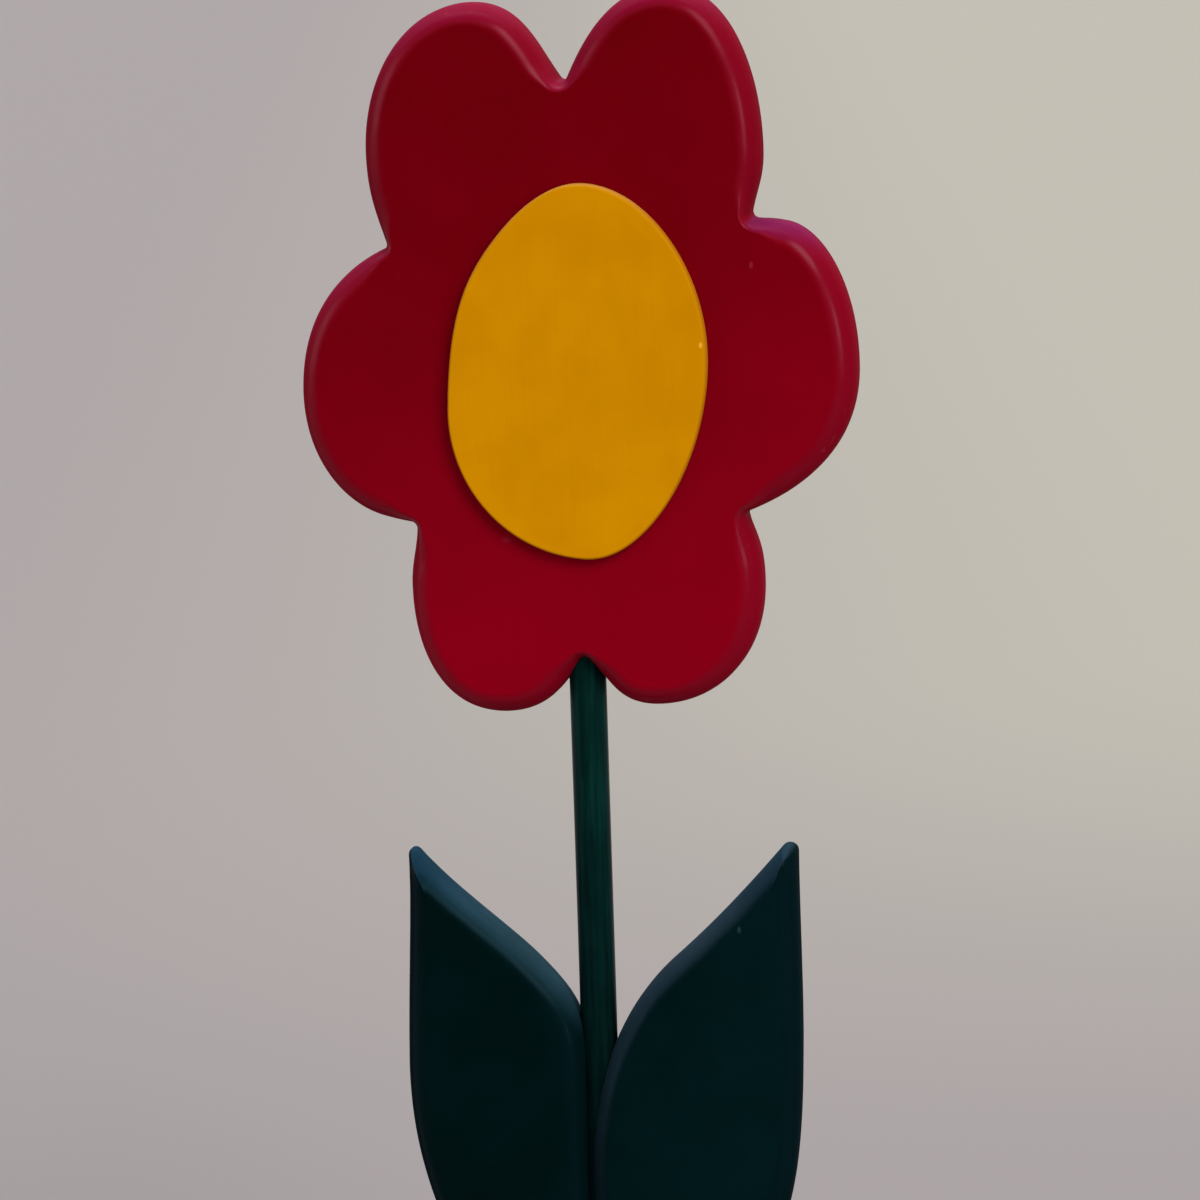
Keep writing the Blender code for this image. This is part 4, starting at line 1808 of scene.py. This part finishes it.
@dataclass
class Foot:
    """The wooden foot with its screws and pads."""

    joints: Joints
    corner_radius: float = 0.012
    top_rounding: tuple[float, float] = (BOARD_ROUNDING, 0.0050)
    under_arris: tuple[float, float] = (0.0008, 0.0008)
    socket_floor: float = 0.004
    corner_pull: float = 0.0003

    def outline(self) -> Outline:
        """Draws the foot as seen from above.

        Returns:
            Its rectangle, with the corners rounded off.
        """
        low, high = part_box("base")
        corners = (high.x, low.y, 0), (high.x, high.y, 90), (low.x, high.y, 180), (low.x, low.y, 270)
        pull, radius = self.corner_pull, self.corner_radius
        return tuple(Corner(x, y, way, way + 90, pull, pull, radius) for x, y, way in corners)

    def build(self, workshop: Workshop) -> None:
        """Makes and dresses the foot, its screws and its pads.

        Args:
            workshop: where they are dressed.
        """
        low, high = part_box("base")
        thickness = high.z - low.z
        place = Matrix.Translation((0, 0, (low.z + high.z) / 2))
        shape = RoutedBoard(self.outline(), thickness, self.top_rounding, self.under_arris, place)
        foot = shape.body("base_board")
        floor = Vector((0, 0, low.z + self.socket_floor))
        socket = new_piece("base_socket", round_blank(BORE_RADIUS, floor, thickness, BORE_SIDES))
        screws = [WoodScrew(side, self.joints) for side in Side]
        carve(foot, [socket] + [screw.drill() for screw in screws])
        shape.sand(foot, HandWork(seed=23.9))
        workshop.finish(foot, FOOT_ENAMEL, ["base"])
        for screw in screws:
            screw.build(workshop)
        for depth in ("front", "back"):
            for side in Side:
                FeltPad(f"felt_pad_{depth}_{side.name.lower()}", self.joints).build(workshop)


# Studio


@dataclass(frozen=True)
class SkyPanel:
    """A wide lamp so far off that its light is even over the whole floor.

    share is how much it adds to a white surface that faces it, where 1 is full white.
    """

    name: str
    azimuth: float
    elevation: float
    width: float
    share: float
    colour: Colour = (1.0, 1.0, 1.0)

    def hang(self) -> None:
        """Hangs the lamp and turns it to the flower."""
        lamp = bpy.data.lights.new(self.name, "SUN")
        lamp.energy = math.pi * self.share
        lamp.angle = math.radians(self.width)
        lamp.color = self.colour
        panel = bpy.data.objects.new(self.name, lamp)
        panel.rotation_euler = (math.radians(90 - self.elevation), 0, math.radians(self.azimuth))
        bpy.context.scene.collection.objects.link(panel)


@dataclass
class Studio:
    """The pale floor, the soft light and the camera."""

    floor_radius: float = 9.0
    # Painted shade on the floor: darker to the left and near the flower
    floor_left: Colour = (0.250, 0.224, 0.216)
    floor_right: Colour = (0.324, 0.306, 0.256)
    floor_near: Colour = (0.240, 0.215, 0.211)
    floor_across: tuple[float, float] = (-0.28, 0.28)
    floor_away: tuple[float, float] = (0.1, 1.0)
    world_low: Colour = (0.25, 0.22, 0.25)
    world_high: Colour = (0.75, 0.74, 0.74)
    azimuth: float = 10.0
    elevation: float = 9.0
    roll: float = 1.816
    distance: float = 1.5
    aim: Point = (0.00321, 0.0, 0.18552)
    lens: float = 207.0
    film_width: float = 36.0

    def floor(self) -> None:
        """Lays the pale floor, with painted shade that darkens it to the left and near the flower."""
        bm = bmesh.new()
        bmesh.ops.create_circle(bm, cap_ends=True, segments=128, radius=self.floor_radius)
        floor = new_piece("studio_floor", bm)
        material, graph, shader = new_material("studio_floor_paint", self.floor_right)
        turn = (0.0, 0.0, -math.radians(self.azimuth))
        mapping = graph.add("ShaderNodeMapping", {"Vector": graph.place(), "Rotation": turn})
        split = graph.add("ShaderNodeSeparateXYZ", {0: mapping.outputs["Vector"]}).outputs
        across = graph.fade(split["X"], *self.floor_across)
        away = graph.fade(split["Y"], *self.floor_away)
        colour = graph.mixed(across, self.floor_left, self.floor_right)
        graph.feed(shader, {"Base Color": graph.mixed(away, self.floor_near, colour)})
        shader.inputs["Roughness"].default_value = 0.9
        shader.inputs["Specular IOR Level"].default_value = 0.1
        floor.data.materials.append(material)

    def light(self) -> None:
        """Sets the world's light and hangs the lamps."""
        world = bpy.data.worlds.new("studio_world")
        world.use_nodes = True
        graph = Graph(world.node_tree)
        way = graph.add("ShaderNodeTexCoord").outputs["Generated"]
        height = graph.fade(graph.add("ShaderNodeSeparateXYZ", {0: way}).outputs["Z"], 0.0, 0.8)
        sky = world.node_tree.nodes["Background"]
        graph.feed(sky, {"Color": graph.mixed(height, self.world_low, self.world_high)})
        sky.inputs["Strength"].default_value = 1.0
        bpy.context.scene.world = world
        for lamp in (
            SkyPanel("overhead_panel", 180.0, 66.0, 60.0, 0.85, (0.88, 0.92, 1.0)),
            SkyPanel("right_panel", 42.0, 34.0, 30.0, 0.53, (1.0, 0.97, 0.93)),
            SkyPanel("low_panel", 58.0, 0.0, 16.0, 0.20),
            SkyPanel("left_panel", -75.0, 6.0, 40.0, 0.22),
        ):
            lamp.hang()

    def camera(self) -> None:
        """Sets up the camera at the photograph's angle."""
        azimuth, elevation = math.radians(self.azimuth), math.radians(self.elevation)
        level = Vector((math.cos(azimuth), math.sin(azimuth), 0.0))
        ahead = Vector((math.sin(azimuth), -math.cos(azimuth), 0.0))
        toward = ahead * math.cos(elevation) + Vector(UPWARD) * math.sin(elevation)
        upright = toward.cross(level)
        roll = math.radians(self.roll)
        up = upright * math.cos(roll) + level * math.sin(roll)
        right = level * math.cos(roll) - upright * math.sin(roll)
        lens = bpy.data.cameras.new("portrait_camera")
        lens.lens = self.lens
        lens.sensor_width = self.film_width
        camera = bpy.data.objects.new("portrait_camera", lens)
        turn = Matrix((right, up, toward)).transposed().to_4x4()
        camera.matrix_world = Matrix.Translation(Vector(self.aim) + toward * self.distance) @ turn
        bpy.context.scene.collection.objects.link(camera)
        bpy.context.scene.camera = camera

    def build(self) -> None:
        """Sets up the whole studio."""
        self.camera()
        self.floor()
        self.light()
        bpy.context.scene.view_settings.view_transform = "Standard"


def main() -> None:
    """Builds the studio and the flower, piece by piece."""
    logging.basicConfig(level=logging.INFO, format="%(name)s: %(message)s", stream=sys.stdout)
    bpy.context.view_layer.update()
    joints = Joints()
    workshop = Workshop()
    Studio().build()
    FlowerHead(joints).build(workshop)
    Stem(joints).build(workshop)
    Leaf(Side.LEFT, LEFT_LEAF_OUTLINE, LEFT_TIP, joints).build(workshop)
    Leaf(Side.RIGHT, RIGHT_LEAF_OUTLINE, RIGHT_TIP, joints).build(workshop)
    Foot(joints).build(workshop)


if __name__ == "__main__":
    main()
